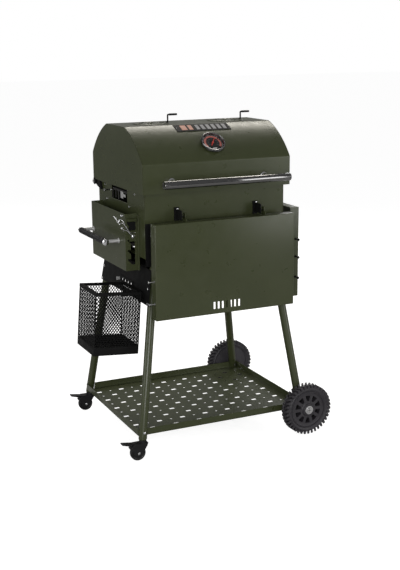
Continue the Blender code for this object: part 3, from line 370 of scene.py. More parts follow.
def cut(obj, bm):
    """Cuts a bmesh of closed solids, in cart coordinates, out of an object."""
    cutter = add_object("cutter", frame_mesh("cutter", bm))
    modifier = obj.modifiers.new("cut", "BOOLEAN")
    modifier.operation = "DIFFERENCE"
    modifier.solver = "EXACT"
    modifier.object = cutter
    if len(obj.modifiers) > 1:
        obj.modifiers.move(len(obj.modifiers) - 1, 0)
    with bpy.context.temp_override(object=obj, active_object=obj):
        bpy.ops.object.modifier_apply(modifier="cut")
    bpy.data.objects.remove(cutter, do_unlink=True)
    obj.data.set_sharp_from_angle(angle=SHARP_ANGLE)


def box(low, high, bm=None):
    bm = bm or bmesh.new()
    low, high = Vector(low), Vector(high)
    matrix = Matrix.Translation((low + high) / 2) @ Matrix.Diagonal((*(high - low), 1.0))
    bmesh.ops.create_cube(bm, size=1.0, matrix=matrix)
    return bm


def join_rings(bm, rings):
    """Faces from each ring of vertices to the next. A ring can be a single vertex."""
    for low, high in zip(rings, rings[1:]):
        count = max(len(low), len(high))
        for k in range(count):
            m = (k + 1) % count
            if len(low) == 1:
                bm.faces.new((low[0], high[k], high[m]))
            elif len(high) == 1:
                bm.faces.new((low[k], high[0], low[m]))
            else:
                bm.faces.new((low[k], high[k], high[m], low[m]))


def add_caps(bm, first, last):
    bm.faces.new(first)
    bm.faces.new(list(reversed(last)))


def circle(bm, centre, radius, side, other, segments):
    """A ring of vertices round a centre, in the plane of two unit vectors."""
    angles = [2 * math.pi * k / segments for k in range(segments)]
    return [bm.verts.new(centre + radius * (side * math.cos(a) + other * math.sin(a))) for a in angles]


def prism(outline, axis, start, end, bm=None):
    """Extrudes a closed outline, given in the plane across the axis, from start to end."""
    bm = bm or bmesh.new()
    place = {"X": lambda u, v, w: (w, u, v), "Y": lambda u, v, w: (u, w, v), "Z": lambda u, v, w: (u, v, w)}
    near = [bm.verts.new(place[axis](u, v, start)) for u, v in outline]
    far = [bm.verts.new(place[axis](u, v, end)) for u, v in outline]
    add_caps(bm, near, far)
    join_rings(bm, [near, far])
    return bm


def turned(profile, centre, direction, segments=40, closed=False, bm=None):
    """Turns (radius, height) points round an axis. An open profile starts and ends at radius 0."""
    bm = bm or bmesh.new()
    up = Vector(direction).normalized()
    side = up.orthogonal().normalized()
    other = up.cross(side)
    rings = []
    for radius, height in profile:
        base = Vector(centre) + up * height
        rings.append(circle(bm, base, radius, side, other, segments) if radius else [bm.verts.new(base)])
    join_rings(bm, rings + rings[:1] if closed else rings)
    return bm


def rod(start, end, radius, segments=24, edge=0.0, bm=None):
    """A round bar with its ends eased by edge."""
    start, end = Vector(start), Vector(end)
    length = (end - start).length
    if edge:
        profile = [(0, 0), (radius - edge, 0), (radius, edge), (radius, length - edge),
                   (radius - edge, length), (0, length)]
    else:
        profile = [(0, 0), (radius, 0), (radius, length), (0, length)]
    return turned(profile, start, end - start, segments, bm=bm)


def swept(points, radius, segments=10, bm=None):
    """A round wire along a list of points, with closed ends."""
    bm = bm or bmesh.new()
    points = [Vector(p) for p in points]
    side = None
    rings = []
    for i, point in enumerate(points):
        ahead = points[min(i + 1, len(points) - 1)] - points[max(i - 1, 0)]
        ahead.normalize()
        if side is None:
            side = ahead.orthogonal().normalized()
        else:
            side = (side - ahead * side.dot(ahead)).normalized()
        rings.append(circle(bm, point, radius, side, ahead.cross(side), segments))
    join_rings(bm, rings)
    add_caps(bm, rings[0], rings[-1])
    return bm


def smooth_path(points, steps=6):
    """A Catmull-Rom curve through given points."""
    points = [Vector(p) for p in points]
    ends = [points[0] * 2 - points[1]] + points + [points[-1] * 2 - points[-2]]
    result = []
    for a, b, c, d in zip(ends, ends[1:], ends[2:], ends[3:]):
        for k in range(steps):
            t = k / steps
            result.append(0.5 * (2 * b + (c - a) * t + (2 * a - 5 * b + 4 * c - d) * t * t
                                 + (3 * b - a - 3 * c + d) * t ** 3))
    return result + [points[-1]]


def rounded(points, reach, steps=5):
    """Rounds the inner corners of an open outline, starting each bend a reach before its corner."""
    points = [Vector(p) for p in points]
    result = [points[0]]
    for before, corner, after in zip(points, points[1:], points[2:]):
        limit = 0.48 * min((before - corner).length, (after - corner).length)
        near = corner + (before - corner).normalized() * min(reach, limit)
        far = corner + (after - corner).normalized() * min(reach, limit)
        for k in range(steps + 1):
            t = k / steps
            result.append(near * (1 - t) ** 2 + corner * 2 * t * (1 - t) + far * t * t)
    return result + [points[-1]]


def thick_outline(points, thickness):
    """A closed outline of an open line given a thickness to its left."""
    inner = []
    for i, point in enumerate(points):
        ahead = (points[min(i + 1, len(points) - 1)] - points[max(i - 1, 0)]).normalized()
        inner.append(point + Vector((-ahead.y, ahead.x)) * thickness)
    return [tuple(p) for p in points] + [tuple(p) for p in reversed(inner)]


def arc_points(start, end, rise, count):
    """Points on a circular arc between two places, bulging to the left of the way there."""
    start, end = Vector(start), Vector(end)
    chord = end - start
    half = chord.length / 2
    radius = (half * half + rise * rise) / (2 * rise)
    normal = Vector((-chord.y, chord.x)).normalized()
    centre = (start + end) / 2 - normal * (radius - rise)
    sweep = math.asin(half / radius)
    points = []
    for k in range(count + 1):
        angle = sweep * (1 - 2 * k / count)
        points.append(centre + radius * (normal * math.cos(angle) - chord.normalized() * math.sin(angle)))
    return points


def bolt_head(centre, direction, radius, height, bm=None):
    """A low domed screw head with a washer."""
    profile = [(0, 0), (radius * 1.3, 0), (radius * 1.3, height * 0.25), (radius, height * 0.28),
               (radius * 0.95, height * 0.65), (radius * 0.6, height * 0.92), (0, height)]
    return turned(profile, centre, direction, 20, bm=bm)


def add_bolts(name, centres, direction, radius, height, material="chrome", body="cart"):
    """One piece of equal screw heads that all face one way."""
    bm = bmesh.new()
    for centre in centres:
        bolt_head(centre, direction, radius, height, bm)
    piece(name, bm, material, body, "chrome")


# Lid

def lid_arc(count):
    """Points on the curved stretch of the lid's front, in Y and Z, from the crease to the top."""
    return arc_points((-LID_HALF_DEPTH, LID_CREASE_Z), (-LID_FLAT_HALF, LID_TOP_Z), LID_ARC_RISE, count)


def lid_line():
    """The lid's outer section in Y and Z, from the front lip over the top to the rear lip."""
    front = [Vector((-LID_HALF_DEPTH, LID_LIP_Z))] + lid_arc(22)
    rear = [Vector((-p.x, p.y)) for p in reversed(front)]
    return rounded(front + rear, 0.0055, 5)


def add_vent_holes(bm, x, low, high, segments):
    """Cutters for a vent's ring of holes."""
    for k in range(VENT_HOLE_COUNT):
        angle = 2 * math.pi * k / VENT_HOLE_COUNT
        hole = (x + VENT_HOLE_RING * math.cos(angle), VENT_HOLE_RING * math.sin(angle))
        rod((*hole, low), (*hole, high), VENT_HOLE_RADIUS, segments, bm=bm)


def build_lid():
    line = lid_line()
    inner_half = LID_HALF_WIDTH - SHEET - GAP
    bm = prism(thick_outline(line, -SHEET), "X", -inner_half, inner_half)
    shell = piece("lid_sheet", bm, "olive", "lid", "olive_paint", ("lid_shell",), smooth=LID_SHARP_ANGLE)
    holes = bmesh.new()
    for side in (-1, 1):
        add_vent_holes(holes, side * VENT_X, LID_TOP_Z - 0.01, LID_TOP_Z + 0.01, 24)
    cut(shell, holes)
    for side, name in ((-1, "left"), (1, "right")):
        x = side * LID_HALF_WIDTH
        bm = prism([tuple(p) for p in line], "X", x, side * (LID_HALF_WIDTH - SHEET))
        end = piece(f"lid_side_{name}", bm, "olive", "lid", "olive_paint", (f"lid_end_{name}",),
                    smooth=LID_SHARP_ANGLE, bevel=0.0006)
        cut(end, box((x - 0.01, 0.0085, LID_LIP_Z - 0.01), (x + 0.01, 0.012, 0.8875)))
        ear = [(0.0058, 0), (0.0125, 0), (0.0125, 0.0026), (0.0058, 0.0026)]
        seat = (x + side * 0.0009, LID_PIVOT_Y, LID_PIVOT_Z)
        bm = turned(ear, seat, (-side, 0, 0), 32, closed=True)
        piece(f"lid_pivot_ear_{name}", bm, "black", "lid", "black_paint", bevel=0.0003)
        bm = bmesh.new()
        for y in LID_RIVET_POSITIONS:
            bolt_head((x, y, LID_RIVET_Z), (side, 0, 0), 0.0026, 0.0012, bm)
        piece(f"lid_rivets_{name}", bm, "olive", "lid", "olive_paint")
    inside, low = -LID_HALF_DEPTH + SHEET, LID_LIP_Z + GAP
    hem = rounded([(inside, LID_LIP_Z + 0.0085), (inside, low), (-LID_HALF_DEPTH + 0.0065, low)], 0.002)
    bm = prism(thick_outline(hem, 0.0012), "X", -inner_half + 0.001, inner_half - 0.001)
    piece("lid_front_hem", bm, "olive", "lid", "olive_paint", smooth=LID_SHARP_ANGLE)


def build_handle():
    x, y, z = HANDLE_HALF_LENGTH, HANDLE_Y, HANDLE_Z
    inner = HANDLE_RADIUS - 0.0015
    profile = [(0, 0.001), (inner - 0.001, 0.0006), (inner, 0), (HANDLE_RADIUS - 0.0004, 0),
               (HANDLE_RADIUS, 0.0008), (HANDLE_RADIUS, 2 * x - 0.0008), (HANDLE_RADIUS - 0.0004, 2 * x),
               (inner, 2 * x), (inner - 0.001, 2 * x - 0.0006), (0, 2 * x - 0.001)]
    bm = turned(profile, (-x, y, z), (1, 0, 0), 64)
    piece("lid_handle_bar", bm, "bar", "lid", "chrome", ("lid_handle",))
    length = -LID_HALF_DEPTH - GAP - (y + HANDLE_RADIUS - 0.0006)
    for side, name in ((-1, "left"), (1, "right")):
        post = [(0, 0), (0.011, 0), (0.0115, 0.0006), (0.0115, 0.002), (0.0105, 0.0028), (0.0086, 0.004),
                (0.007, 0.0062), (0.0064, 0.0095), (0.0062, length * 0.6), (0.0066, length), (0, length)]
        bm = turned(post, (side * HANDLE_POST_X, -LID_HALF_DEPTH - 0.0002, z), (0, -1, 0), 40)
        piece(f"lid_handle_stand_{name}", bm, "chrome", "lid", "chrome", (f"lid_handle_post_{name}",))


def gauge_axes():
    """The thermometer's seat on the lid's front arc, with its outward, right and up directions."""
    arc = lid_arc(100)
    index = round(GAUGE_ARC_POSITION * 100)
    along = (arc[index + 1] - arc[index - 1]).normalized()
    normal = Vector((0, -along.y, along.x))
    up = Vector((0, along.x, along.y))
    return Vector((0, *arc[index])) + normal * 0.0008, normal, Vector((1, 0, 0)), up


def flat_shape(points, seat, normal, right, up, low, high, bm=None):
    """A flat shape of (right, up) points that stands from height low to high over a face."""
    bm = bm or bmesh.new()
    levels = [[bm.verts.new(seat + right * u + up * v + normal * h) for u, v in points] for h in (low, high)]
    add_caps(bm, *levels)
    join_rings(bm, levels)
    return bm


def ring_sector(inner, outer, start, end, steps):
    """Outline of a part of a ring. Angles are clockwise degrees from straight up."""
    angles = [math.radians(start + (end - start) * k / steps) for k in range(steps + 1)]
    points = [(outer * math.sin(a), outer * math.cos(a)) for a in angles]
    return points + [(inner * math.sin(a), inner * math.cos(a)) for a in reversed(angles)]


def build_thermometer():
    seat, normal, right, up = gauge_axes()
    radius, depth = GAUGE_RADIUS, GAUGE_DEPTH

    def printed(points, bm):
        """A mark printed on the dial."""
        flat_shape(points, seat, normal, right, up, 0.0058, 0.0061, bm)

    case = [(0, 0), (radius * 0.86, 0), (radius * 0.97, 0.0025), (radius, 0.005), (radius, depth - 0.003),
            (radius - 0.001, depth - 0.0008), (radius - 0.0026, depth), (radius - 0.0044, depth - 0.0006),
            (radius - 0.0052, depth - 0.0022), (radius - 0.0052, 0.0045), (0, 0.0045)]
    bm = turned(case, seat, normal, 96)
    piece("thermometer_bezel", bm, "case", "lid", "steel", ("thermometer_case",))
    dial = [(0, 0), (radius - 0.0056, 0), (radius - 0.0056, 0.001), (0, 0.001)]
    bm = turned(dial, seat + normal * 0.0048, normal, 96)
    piece("thermometer_face", bm, "dial", "lid", "dial_face", ("thermometer_dial",))
    zones = bmesh.new()
    for start, end in ((-128, -44), (-38, 52), (58, 128)):
        printed(ring_sector(0.0235, 0.03, start, end, 24), zones)
    piece("thermometer_zones", zones, "zone", "lid", "dial_face")
    ticks = bmesh.new()
    for k in range(37):
        angle = -135 + 7.5 * k
        inner, half = (0.0312, 0.9) if k % 4 == 0 else (0.0325, 0.5)
        printed(ring_sector(inner, 0.0346, angle - half, angle + half, 1), ticks)
    printed([(-0.0075, -0.0225), (0.0075, -0.0225), (0.0075, -0.026), (-0.0075, -0.026)], ticks)
    piece("thermometer_marks", ticks, "white", "lid", "dial_face")
    petals = bmesh.new()
    for k in range(9):
        angle = -120 + 30 * k
        printed(ring_sector(0.0135, 0.0205, angle - 7, angle + 7, 4), petals)
    piece("thermometer_inner_marks", petals, "case", "lid", "dial_face")
    pointer = (right * 0.55 + up * 0.83).normalized()
    blade = [(-0.014, -0.0019), (0.015, -0.0014), (0.0225, -0.0011), (0.0255, 0.0),
             (0.0225, 0.0011), (0.015, 0.0014), (-0.014, 0.0019)]
    bm = flat_shape(blade, seat, normal, pointer, normal.cross(pointer), 0.0066, 0.0074)
    hub = [(0, 0.0062), (0.0038, 0.0062), (0.004, 0.007), (0.0034, 0.0083), (0, 0.0086)]
    turned(hub, seat, normal, 32, bm=bm)
    piece("thermometer_pointer", bm, "red", "needle", "needle_red", ("thermometer_needle",))
    washer = [(0, 0), (0.0165, 0), (0.0165, 0.0006), (0, 0.0006)]
    bm = turned(washer, seat - normal * 0.0008, normal, 40)
    piece("thermometer_seat_washer", bm, "case", "lid", "steel")


def build_badge():
    arc = lid_arc(BADGE_ARC_STEPS)
    top = BADGE_TOP_STEP
    bottom = top - round(BADGE_HEIGHT / (arc[1] - arc[0]).length)

    def strip(low, high, start, end, x0, x1, bm):
        """A curved plate over the arc's points from low to high, between two heights over it."""
        outer, inner = [], []
        for index in range(low, high + 1, 2):
            along = (arc[index + 1] - arc[index - 1]).normalized()
            normal = Vector((-along.y, along.x))
            inner.append(tuple(arc[index] + normal * start))
            outer.append(tuple(arc[index] + normal * end))
        return prism(outer + list(reversed(inner)), "X", x0, x1, bm)

    plate = strip(bottom, top, 0.0006, 0.0016, -BADGE_HALF_LENGTH, BADGE_HALF_LENGTH, bmesh.new())
    piece("badge_backing", plate, "badge_black", "lid", "steel", ("badge_plate",), bevel=0.0003)
    margin = BADGE_MARGIN_STEPS
    accents = bmesh.new()
    for x0, x1 in ((-0.078, -0.058), (-0.051, -0.037)):
        strip(bottom + margin, top - margin, 0.0014, 0.0022, x0, x1, accents)
    piece("badge_accents", accents, "copper", "lid", "steel", bevel=0.0002)
    bars = bmesh.new()
    for k in range(BADGE_BAR_COUNT):
        x = BADGE_BAR_START + BADGE_BAR_PITCH * k
        strip(bottom + margin, top - margin, 0.0014, 0.0022, x, x + BADGE_BAR_WIDTH, bars)
    piece("badge_bars", bars, "silver", "lid", "steel", bevel=0.0002)
    middle = arc[(bottom + top) // 2]
    along = (arc[top] - arc[bottom]).normalized()
    normal = Vector((0, -along.y, along.x))
    centres = [Vector((x, *middle)) + normal * 0.0012 for x in (-0.093, 0.096)]
    add_bolts("badge_rivets", centres, normal, 0.0018, 0.001, "silver", "lid")


def build_vents():
    for side, name in ((-1, "left"), (1, "right")):
        body, x, base = f"vent_{name}", side * VENT_X, LID_TOP_Z + GAP
        disc = [(0, 0), (VENT_RADIUS - 0.0004, 0), (VENT_RADIUS, 0.0004), (VENT_RADIUS, 0.0011),
                (VENT_RADIUS - 0.0005, 0.0014), (VENT_RADIUS - 0.008, 0.0014), (VENT_RADIUS - 0.009, 0.002),
                (VENT_RADIUS - 0.0105, 0.002), (VENT_RADIUS - 0.0115, 0.0014), (0.009, 0.0014),
                (0.0078, 0.0018), (0.0074, 0.004), (0.006, 0.0048), (0, 0.0052)]
        bm = turned(disc, (x, 0, base), (0, 0, 1), 72)
        vent = piece(f"vent_plate_{name}", bm, "olive", body, "olive_paint", (f"vent_disc_{name}",))
        holes = bmesh.new()
        add_vent_holes(holes, x, base - 0.005, base + 0.01, 32)
        cut(vent, holes)
        lever_x = x + VENT_RADIUS - 0.004
        top = base + VENT_LEVER_HEIGHT - 0.003
        stem_x = lever_x + 0.003
        path = rounded([(stem_x, 0, base + 0.0007), (stem_x, 0, top), (lever_x + 0.01, 0, top)], 0.0025)
        bm = swept(path, 0.0026, 14)
        turned([(0, 0), (0.005, 0), (0.005, 0.0012), (0.0036, 0.0026), (0, 0.0026)],
               (lever_x, 0, base + 0.0012), (0, 0, 1), 24, bm=bm)
        piece(f"vent_lever_{name}", bm, "black", body, "black_paint")
        bm = turned(vent_grip_profile(), (lever_x + 0.0064, 0, top), (1, 0, 0), 32)
        piece(f"vent_knob_{name}", bm, "plastic", body, "black_plastic", (f"vent_grip_{name}",))


def vent_grip_profile():
    length, ribs = VENT_GRIP_LENGTH, 6
    profile = [(0, 0), (0.0026, 0), (0.0034, 0.0012)]
    for k in range(ribs):
        z = 0.004 + k * (length - 0.008) / ribs
        profile += [(0.0036, z), (0.0036, z + 0.0026), (0.0032, z + 0.0032)]
    return profile + [(0.0036, length - 0.0025), (0.003, length - 0.0006), (0, length)]


# Firebox and its left end

def build_firebox():
    for node in ("firebox_front", "firebox_rear", "firebox_end_left", "firebox_end_right"):
        refined(node, "olive", 0.0004)
    for node in ("lid_hinge_left", "lid_hinge_right"):
        refined(node, "black")
    refined("lower_fire_box", "black", 0.0003)
    for node in ("cooking_grate_left", "cooking_grate_right"):
        refined(node, "iron", 0.001)
    refined("charcoal_tray", "soot", 0.0004)
    refined("ash_pan", "steel", 0.0004)
    wall = -BOX_HALF_WIDTH
    strip = box((wall - 0.0009, -0.142, 0.803), (wall, 0.207, 0.8195))
    piece("firebox_left_strip", strip, "olive", "cart", "olive_paint", bevel=0.0003)
    bolts = bmesh.new()
    for y in WALL_BOLT_POSITIONS:
        bolt_head((wall - 0.0009, y, WALL_BOLT_Z), (-1, 0, 0), 0.0032, 0.0026, bolts)
    for y in (-0.13, 0.15):
        bolt_head((wall, y, 0.858), (-1, 0, 0), 0.0026, 0.0018, bolts)
    piece("firebox_left_bolts", bolts, "chrome", "cart", "chrome")
    pin = [(0, 0), (0.0048, 0), (0.0048, 0.0015), (0.0024, 0.0018), (0.0024, 0.02), (0.0044, 0.0203),
           (0.005, 0.0212), (0.005, 0.0244), (0.0042, 0.0256), (0, 0.0256)]
    bm = turned(pin, (wall, 0.09, 0.847), (-1, 0, 0), 28)
    piece("firebox_left_pin", bm, "chrome", "cart", "chrome")
    plate = ((-0.018, 0.0045, 0.829, 0.852), (-0.04, -0.018, 0.836, 0.845))
    strips = ((0.02, 0.029, 0.823, 0.851), (0.047, 0.053, 0.825, 0.851),
              (0.076, 0.086, 0.815, 0.85))
    for name, material, sheets in (("plate", "zinc", plate), ("strips", "soot", strips)):
        bm = bmesh.new()
        for y0, y1, z0, z1 in sheets:
            box((wall + 0.0024, y0, z0), (wall + 0.0034, y1, z1), bm)
        piece(f"firebox_window_{name}", bm, material, "cart", "steel")
    centres = [(BOX_HALF_WIDTH, y, WALL_BOLT_Z) for y in WALL_BOLT_POSITIONS]
    add_bolts("firebox_right_bolts", centres, (1, 0, 0), 0.0032, 0.0026)
    caps = bmesh.new()
    for side in (-1, 1):
        centre = (side * (LID_HALF_WIDTH + 0.003), LID_PIVOT_Y, LID_PIVOT_Z)
        bolt_head(centre, (side, 0, 0), 0.0056, 0.0036, caps)
    piece("lid_hinge_caps", caps, "chrome", "cart", "chrome")


def build_lift():
    refined("lift_box", "olive")
    for name in ("front", "rear"):
        refined(f"lift_guide_{name}", "olive")
    x, z = LIFT_HANDLE_X, LIFT_HANDLE_Z
    front, rear = LIFT_HANDLE_FRONT_Y, LIFT_HANDLE_REAR_Y
    bm = rod((x, front - 0.004, z), (x, rear + 0.01, z), 0.0065, 32, 0.0008)
    cap = [(0, 0), (0.0092, 0), (0.0108, 0.0009), (0.0115, 0.0024), (0.0115, 0.0055), (0, 0.0055)]
    turned(cap, (x, front - 0.0105, z), (0, 1, 0), 40, bm=bm)
    piece("lift_handle_bar", bm, "chrome", "lift", "chrome", ("lift_handle",))
    bm = bmesh.new()
    root = LIFT_OUTER_X - GAP
    reach = root - x
    post = [(0, 0), (0.0086, 0), (0.0086, 0.0012), (0.0066, 0.0022), (0.006, 0.005),
            (0.006, reach - 0.001), (0, reach)]
    for y in (front, rear):
        turned(post, (root, y, z), (-1, 0, 0), 32, bm=bm)
    piece("lift_handle_posts", bm, "zinc", "lift", "chrome")
    bm = turned(lift_grip_profile(rear - front - 0.016), (x, front + 0.008, z), (0, 1, 0), 48, closed=True)
    piece("lift_handle_sleeve", bm, "plastic", "lift", "black_plastic", ("lift_grip",))
    centres = [(LIFT_OUTER_X + SHEET, y, z) for y in (front, rear)]
    add_bolts("lift_handle_screws", centres, (1, 0, 0), 0.005, 0.003, body="lift")
    for name in ("front", "rear"):
        refined(f"lift_pin_{name}", "chrome", 0.0004)
    build_clip()


def lift_grip_profile(length):
    """The ribbed sleeve's section. Its first and last points lie on the handle's bar."""
    profile = [(0.007, 0), (0.0098, 0), (0.0105, 0.001)]
    ribs = 24
    step = (length - 0.008) / ribs
    for k in range(ribs):
        y = 0.004 + k * step
        profile += [(0.0105, y), (0.0105, y + step * 0.55), (0.0099, y + step * 0.68),
                    (0.0099, y + step * 0.87)]
    return profile + [(0.0105, length - 0.0035), (0.0105, length - 0.001), (0.0098, length), (0.007, length)]


def build_clip():
    """The bent wire clip on the lift's front side, its hook plate and the round heads beside it."""
    front = LIFT_LOW.y
    outline = [(-0.293, 0.77), (-0.2905, 0.7785), (-0.264, 0.7785), (-0.2625, 0.748), (-0.276, 0.743),
               (-0.289, 0.749), (-0.285, 0.76), (-0.293, 0.77)]
    plate = [tuple(p) for p in rounded(outline, 0.004)[1:]]
    bm = prism(plate, "Y", front - 0.0026, front - 0.0014)
    piece("lift_hook_plate", bm, "black", "cart", "black_paint", bevel=0.0003)
    y = front - 0.0068
    bm = rod((-0.2915, y, 0.7805), (-0.2625, y, 0.7805), 0.0052, 28, 0.001)
    piece("lift_hook_tube", bm, "olive", "cart", "olive_paint")
    bm = bmesh.new()
    for y, line in (
            (front - 0.0076, ((-0.2655, 0.7392), (-0.274, 0.7396), (-0.282, 0.7398), (-0.289, 0.746),
                              (-0.296, 0.758), (-0.304, 0.769), (-0.312, 0.774), (-0.32, 0.77),
                              (-0.323, 0.778), (-0.318, 0.786), (-0.31, 0.782), (-0.305, 0.775))),
            (front - 0.0072, ((-0.32, 0.77), (-0.327, 0.78), (-0.333, 0.791), (-0.341, 0.7985))),
            (front - 0.0088, ((-0.309, 0.748), (-0.3, 0.75), (-0.292, 0.745), (-0.284, 0.736),
                              (-0.276, 0.73), (-0.267, 0.7285)))):
        swept(smooth_path([(x, y, z) for x, z in line]), 0.0017, 12, bm)
    piece("lift_wire_clip", bm, "chrome", "cart", "chrome", ("lift_clip",))
    heads = bmesh.new()
    head = [(0, -0.0012), (0.003, -0.0006), (0.0042, 0.0008), (0.0042, 0.0026), (0.003, 0.004), (0, 0.0046)]
    for x, z in ((-0.312, 0.798), (-0.311, 0.757)):
        turned(head, (x, front - 0.0064, z), (0, -1, 0), 24, bm=heads)
    piece("lift_clip_heads", heads, "chrome", "cart", "chrome")
    nuts = bmesh.new()
    for side, y in ((-1, front - 0.0122), (1, LIFT_HIGH.y + 0.0122)):
        bolt_head((-0.276, y, 0.728), (0, side, 0), 0.005, 0.0036, nuts)
    piece("lift_pin_nuts", nuts, "chrome", "cart", "chrome")


# Shelves

def pan(low, high, wall, open_side):
    """Five sheets of a shallow box whose open side faces along open_side, such as (0, 1, 0)."""
    bm = box(low, high)
    for face in list(bm.faces):
        if face.normal.dot(Vector(open_side)) > 0.9:
            bmesh.ops.delete(bm, geom=[face], context="FACES_ONLY")
    bmesh.ops.bevel(bm, geom=[e for e in bm.edges if len(e.link_faces) == 2], offset=0.0022, segments=4,
                    profile=0.5, affect="EDGES")
    bmesh.ops.solidify(bm, geom=bm.faces[:], thickness=wall)
    return bm


def shelf_ear(face, inward):
    """A hinge ear's outline, across a shelf with its outer side at face. Inward is 1 or -1."""
    edge = face + inward * (SHELF_THICKNESS - 0.012)
    pivot = face + inward * SHELF_PIVOT_DEPTH
    near, far = pivot - inward * 0.008, pivot + inward * 0.009
    foot = SHELF_TOP_Z - 0.001
    outline = [(edge, foot), (edge, 0.788), (near, 0.79), (near, SHELF_EAR_TOP_Z), (far, SHELF_EAR_TOP_Z),
               (far, foot)]
    return [tuple(p) for p in rounded(outline, 0.004, 4)]


def peg(start, direction, bm=None):
    """A headed tool peg with a collar."""
    profile = [(0, 0), (0.0042, 0), (0.0042, 0.0014), (0.0022, 0.0018), (0.0022, PEG_LENGTH - 0.0032),
               (0.0036, PEG_LENGTH - 0.003), (0.0046, PEG_LENGTH - 0.0022), (0.0046, PEG_LENGTH - 0.0008),
               (0.0036, PEG_LENGTH), (0, PEG_LENGTH)]
    return turned(profile, start, direction, 24, bm=bm)


def build_front_shelf():
    half, y = FRONT_SHELF_HALF_WIDTH, FRONT_SHELF_Y
    bm = pan((-half, y, SHELF_BOTTOM_Z), (half, y + SHELF_THICKNESS, SHELF_TOP_Z), SHEET, (0, 1, 0))
    shelf = piece("front_shelf_panel", bm, "olive", "front_shelf_body", "olive_paint", ("front_shelf",),
                  smooth=PAN_SHARP_ANGLE)
    slots = bmesh.new()
    for k in range(SHELF_SLOT_COUNT):
        x = (k - (SHELF_SLOT_COUNT - 1) / 2) * SHELF_SLOT_PITCH
        box((x - 0.0035, y - 0.01, 0.487), (x + 0.0035, y + 0.01, 0.511), slots)
    cut(shelf, slots)
    for x, name in zip(BRACKET_POSITIONS, ("left", "right")):
        bm = prism(shelf_ear(y, 1), "X", x + SHELF_EAR_NEAR, x + SHELF_EAR_FAR)
        piece(f"front_shelf_ear_{name}", bm, "olive", "front_shelf_body", "olive_paint", bevel=0.0003)
        refined(f"front_shelf_bracket_{name}", "black")
        centres = [(x + 0.004, -BOX_HALF_DEPTH - 0.0034, z) for z in BRACKET_BOLT_LEVELS]
        add_bolts(f"front_bracket_bolts_{name}", centres, (0, -1, 0), 0.0027, 0.0022)
    pegs = bmesh.new()
    for z in FRONT_PEG_LEVELS:
        peg((-half + SHEET / 2, y + 0.012, z), (-1, 0, 0), pegs)
    piece("front_shelf_pegs", pegs, "steel", "front_shelf_body", "steel")


def build_side_shelf():
    half, x = SIDE_SHELF_HALF_WIDTH, SIDE_SHELF_X
    bm = pan((x - SHELF_THICKNESS, -half, SHELF_BOTTOM_Z - 0.004), (x, half, SHELF_TOP_Z), SHEET, (-1, 0, 0))
    piece("side_shelf_panel", bm, "olive", "side_shelf_body", "olive_paint", ("side_shelf",),
          smooth=PAN_SHARP_ANGLE)
    for y, name in zip(SIDE_BRACKET_POSITIONS, ("front", "rear")):
        bm = prism(shelf_ear(x, -1), "Y", y + SHELF_EAR_NEAR, y + SHELF_EAR_FAR)
        piece(f"side_shelf_ear_{name}", bm, "olive", "side_shelf_body", "olive_paint", bevel=0.0003)
        refined(f"side_shelf_bracket_{name}", "black")
        centres = [(BOX_HALF_WIDTH + 0.0034, y + 0.004, z) for z in BRACKET_BOLT_LEVELS]
        add_bolts(f"side_bracket_bolts_{name}", centres, (1, 0, 0), 0.0027, 0.0022)
    pegs = bmesh.new()
    for z in SIDE_PEG_LEVELS:
        peg((x - 0.012, -half + SHEET / 2, z), (0, -1, 0), pegs)
    piece("side_shelf_pegs", pegs, "black", "side_shelf_body", "black_paint")


# Cart

def leg_x(side, z):
    return side * (LEG_FOOT_X[side] - LEG_SPLAY_X * (z - LEG_FOOT_Z))


def leg_y(side, z):
    return side * (LEG_FOOT_Y - LEG_SPLAY_Y * (z - LEG_FOOT_Z))


def leg_shape(side_x, side_y, levels, segments=48, closed=True):
    """Circles of (radius, Z) along a leg's leaning axis. Closed makes a tube of them, not a solid."""
    bm = bmesh.new()
    rings = [circle(bm, Vector((leg_x(side_x, z), leg_y(side_y, z), z)), radius, Vector((1, 0, 0)),
                    Vector((0, 1, 0)), segments) for radius, z in levels]
    join_rings(bm, rings + rings[:1] if closed else rings)
    if not closed:
        add_caps(bm, rings[0], rings[-1])
    return bm


def build_legs():
    outer, inner = LEG_RADIUS, LEG_RADIUS - SHEET
    levels = [(outer - 0.0004, LEG_FOOT_Z), (outer, LEG_FOOT_Z + 0.0006), (outer, LEG_TOP_Z - 0.0006),
              (outer - 0.0004, LEG_TOP_Z), (inner, LEG_TOP_Z), (inner, LEG_FOOT_Z)]
    bolts = bmesh.new()
    for side_x, name_x in ((-1, "left"), (1, "right")):
        for side_y, name_y in ((-1, "front"), (1, "rear")):
            name = f"{name_y}_{name_x}"
            bm = leg_shape(side_x, side_y, levels)
            piece(f"leg_tube_{name}", bm, "olive", "cart", "olive_paint", (f"leg_{name}",))
            for z in LEG_BOLT_LEVELS:
                x = leg_x(side_x, z) + side_x * (LEG_RADIUS + SHEET + GAP)
                bolt_head((x, leg_y(side_y, z), z), (side_x, 0, 0), 0.0042, 0.004, bolts)
            if side_x < 0:
                z = TRAY_LOW.z + 0.014
                y = leg_y(side_y, z) + side_y * LEG_RADIUS
                bolt_head((leg_x(side_x, z), y, z), (0, side_y, 0), 0.0034, 0.0026, bolts)
    piece("leg_bolts", bolts, "chrome", "cart", "chrome")


def slot_outline(x, y):
    """A slot's outline round its middle, with rounded corners."""
    corner = SLOT_HALF_WIDTH * 0.45
    outline = []
    for k in range(16):
        angle = math.pi * (2 * k + 1) / 16
        across, along = math.cos(angle), math.sin(angle)
        outline.append((x + math.copysign(SLOT_HALF_LENGTH - corner, across) + corner * across,
                        y + math.copysign(SLOT_HALF_WIDTH - corner, along) + corner * along))
    return outline


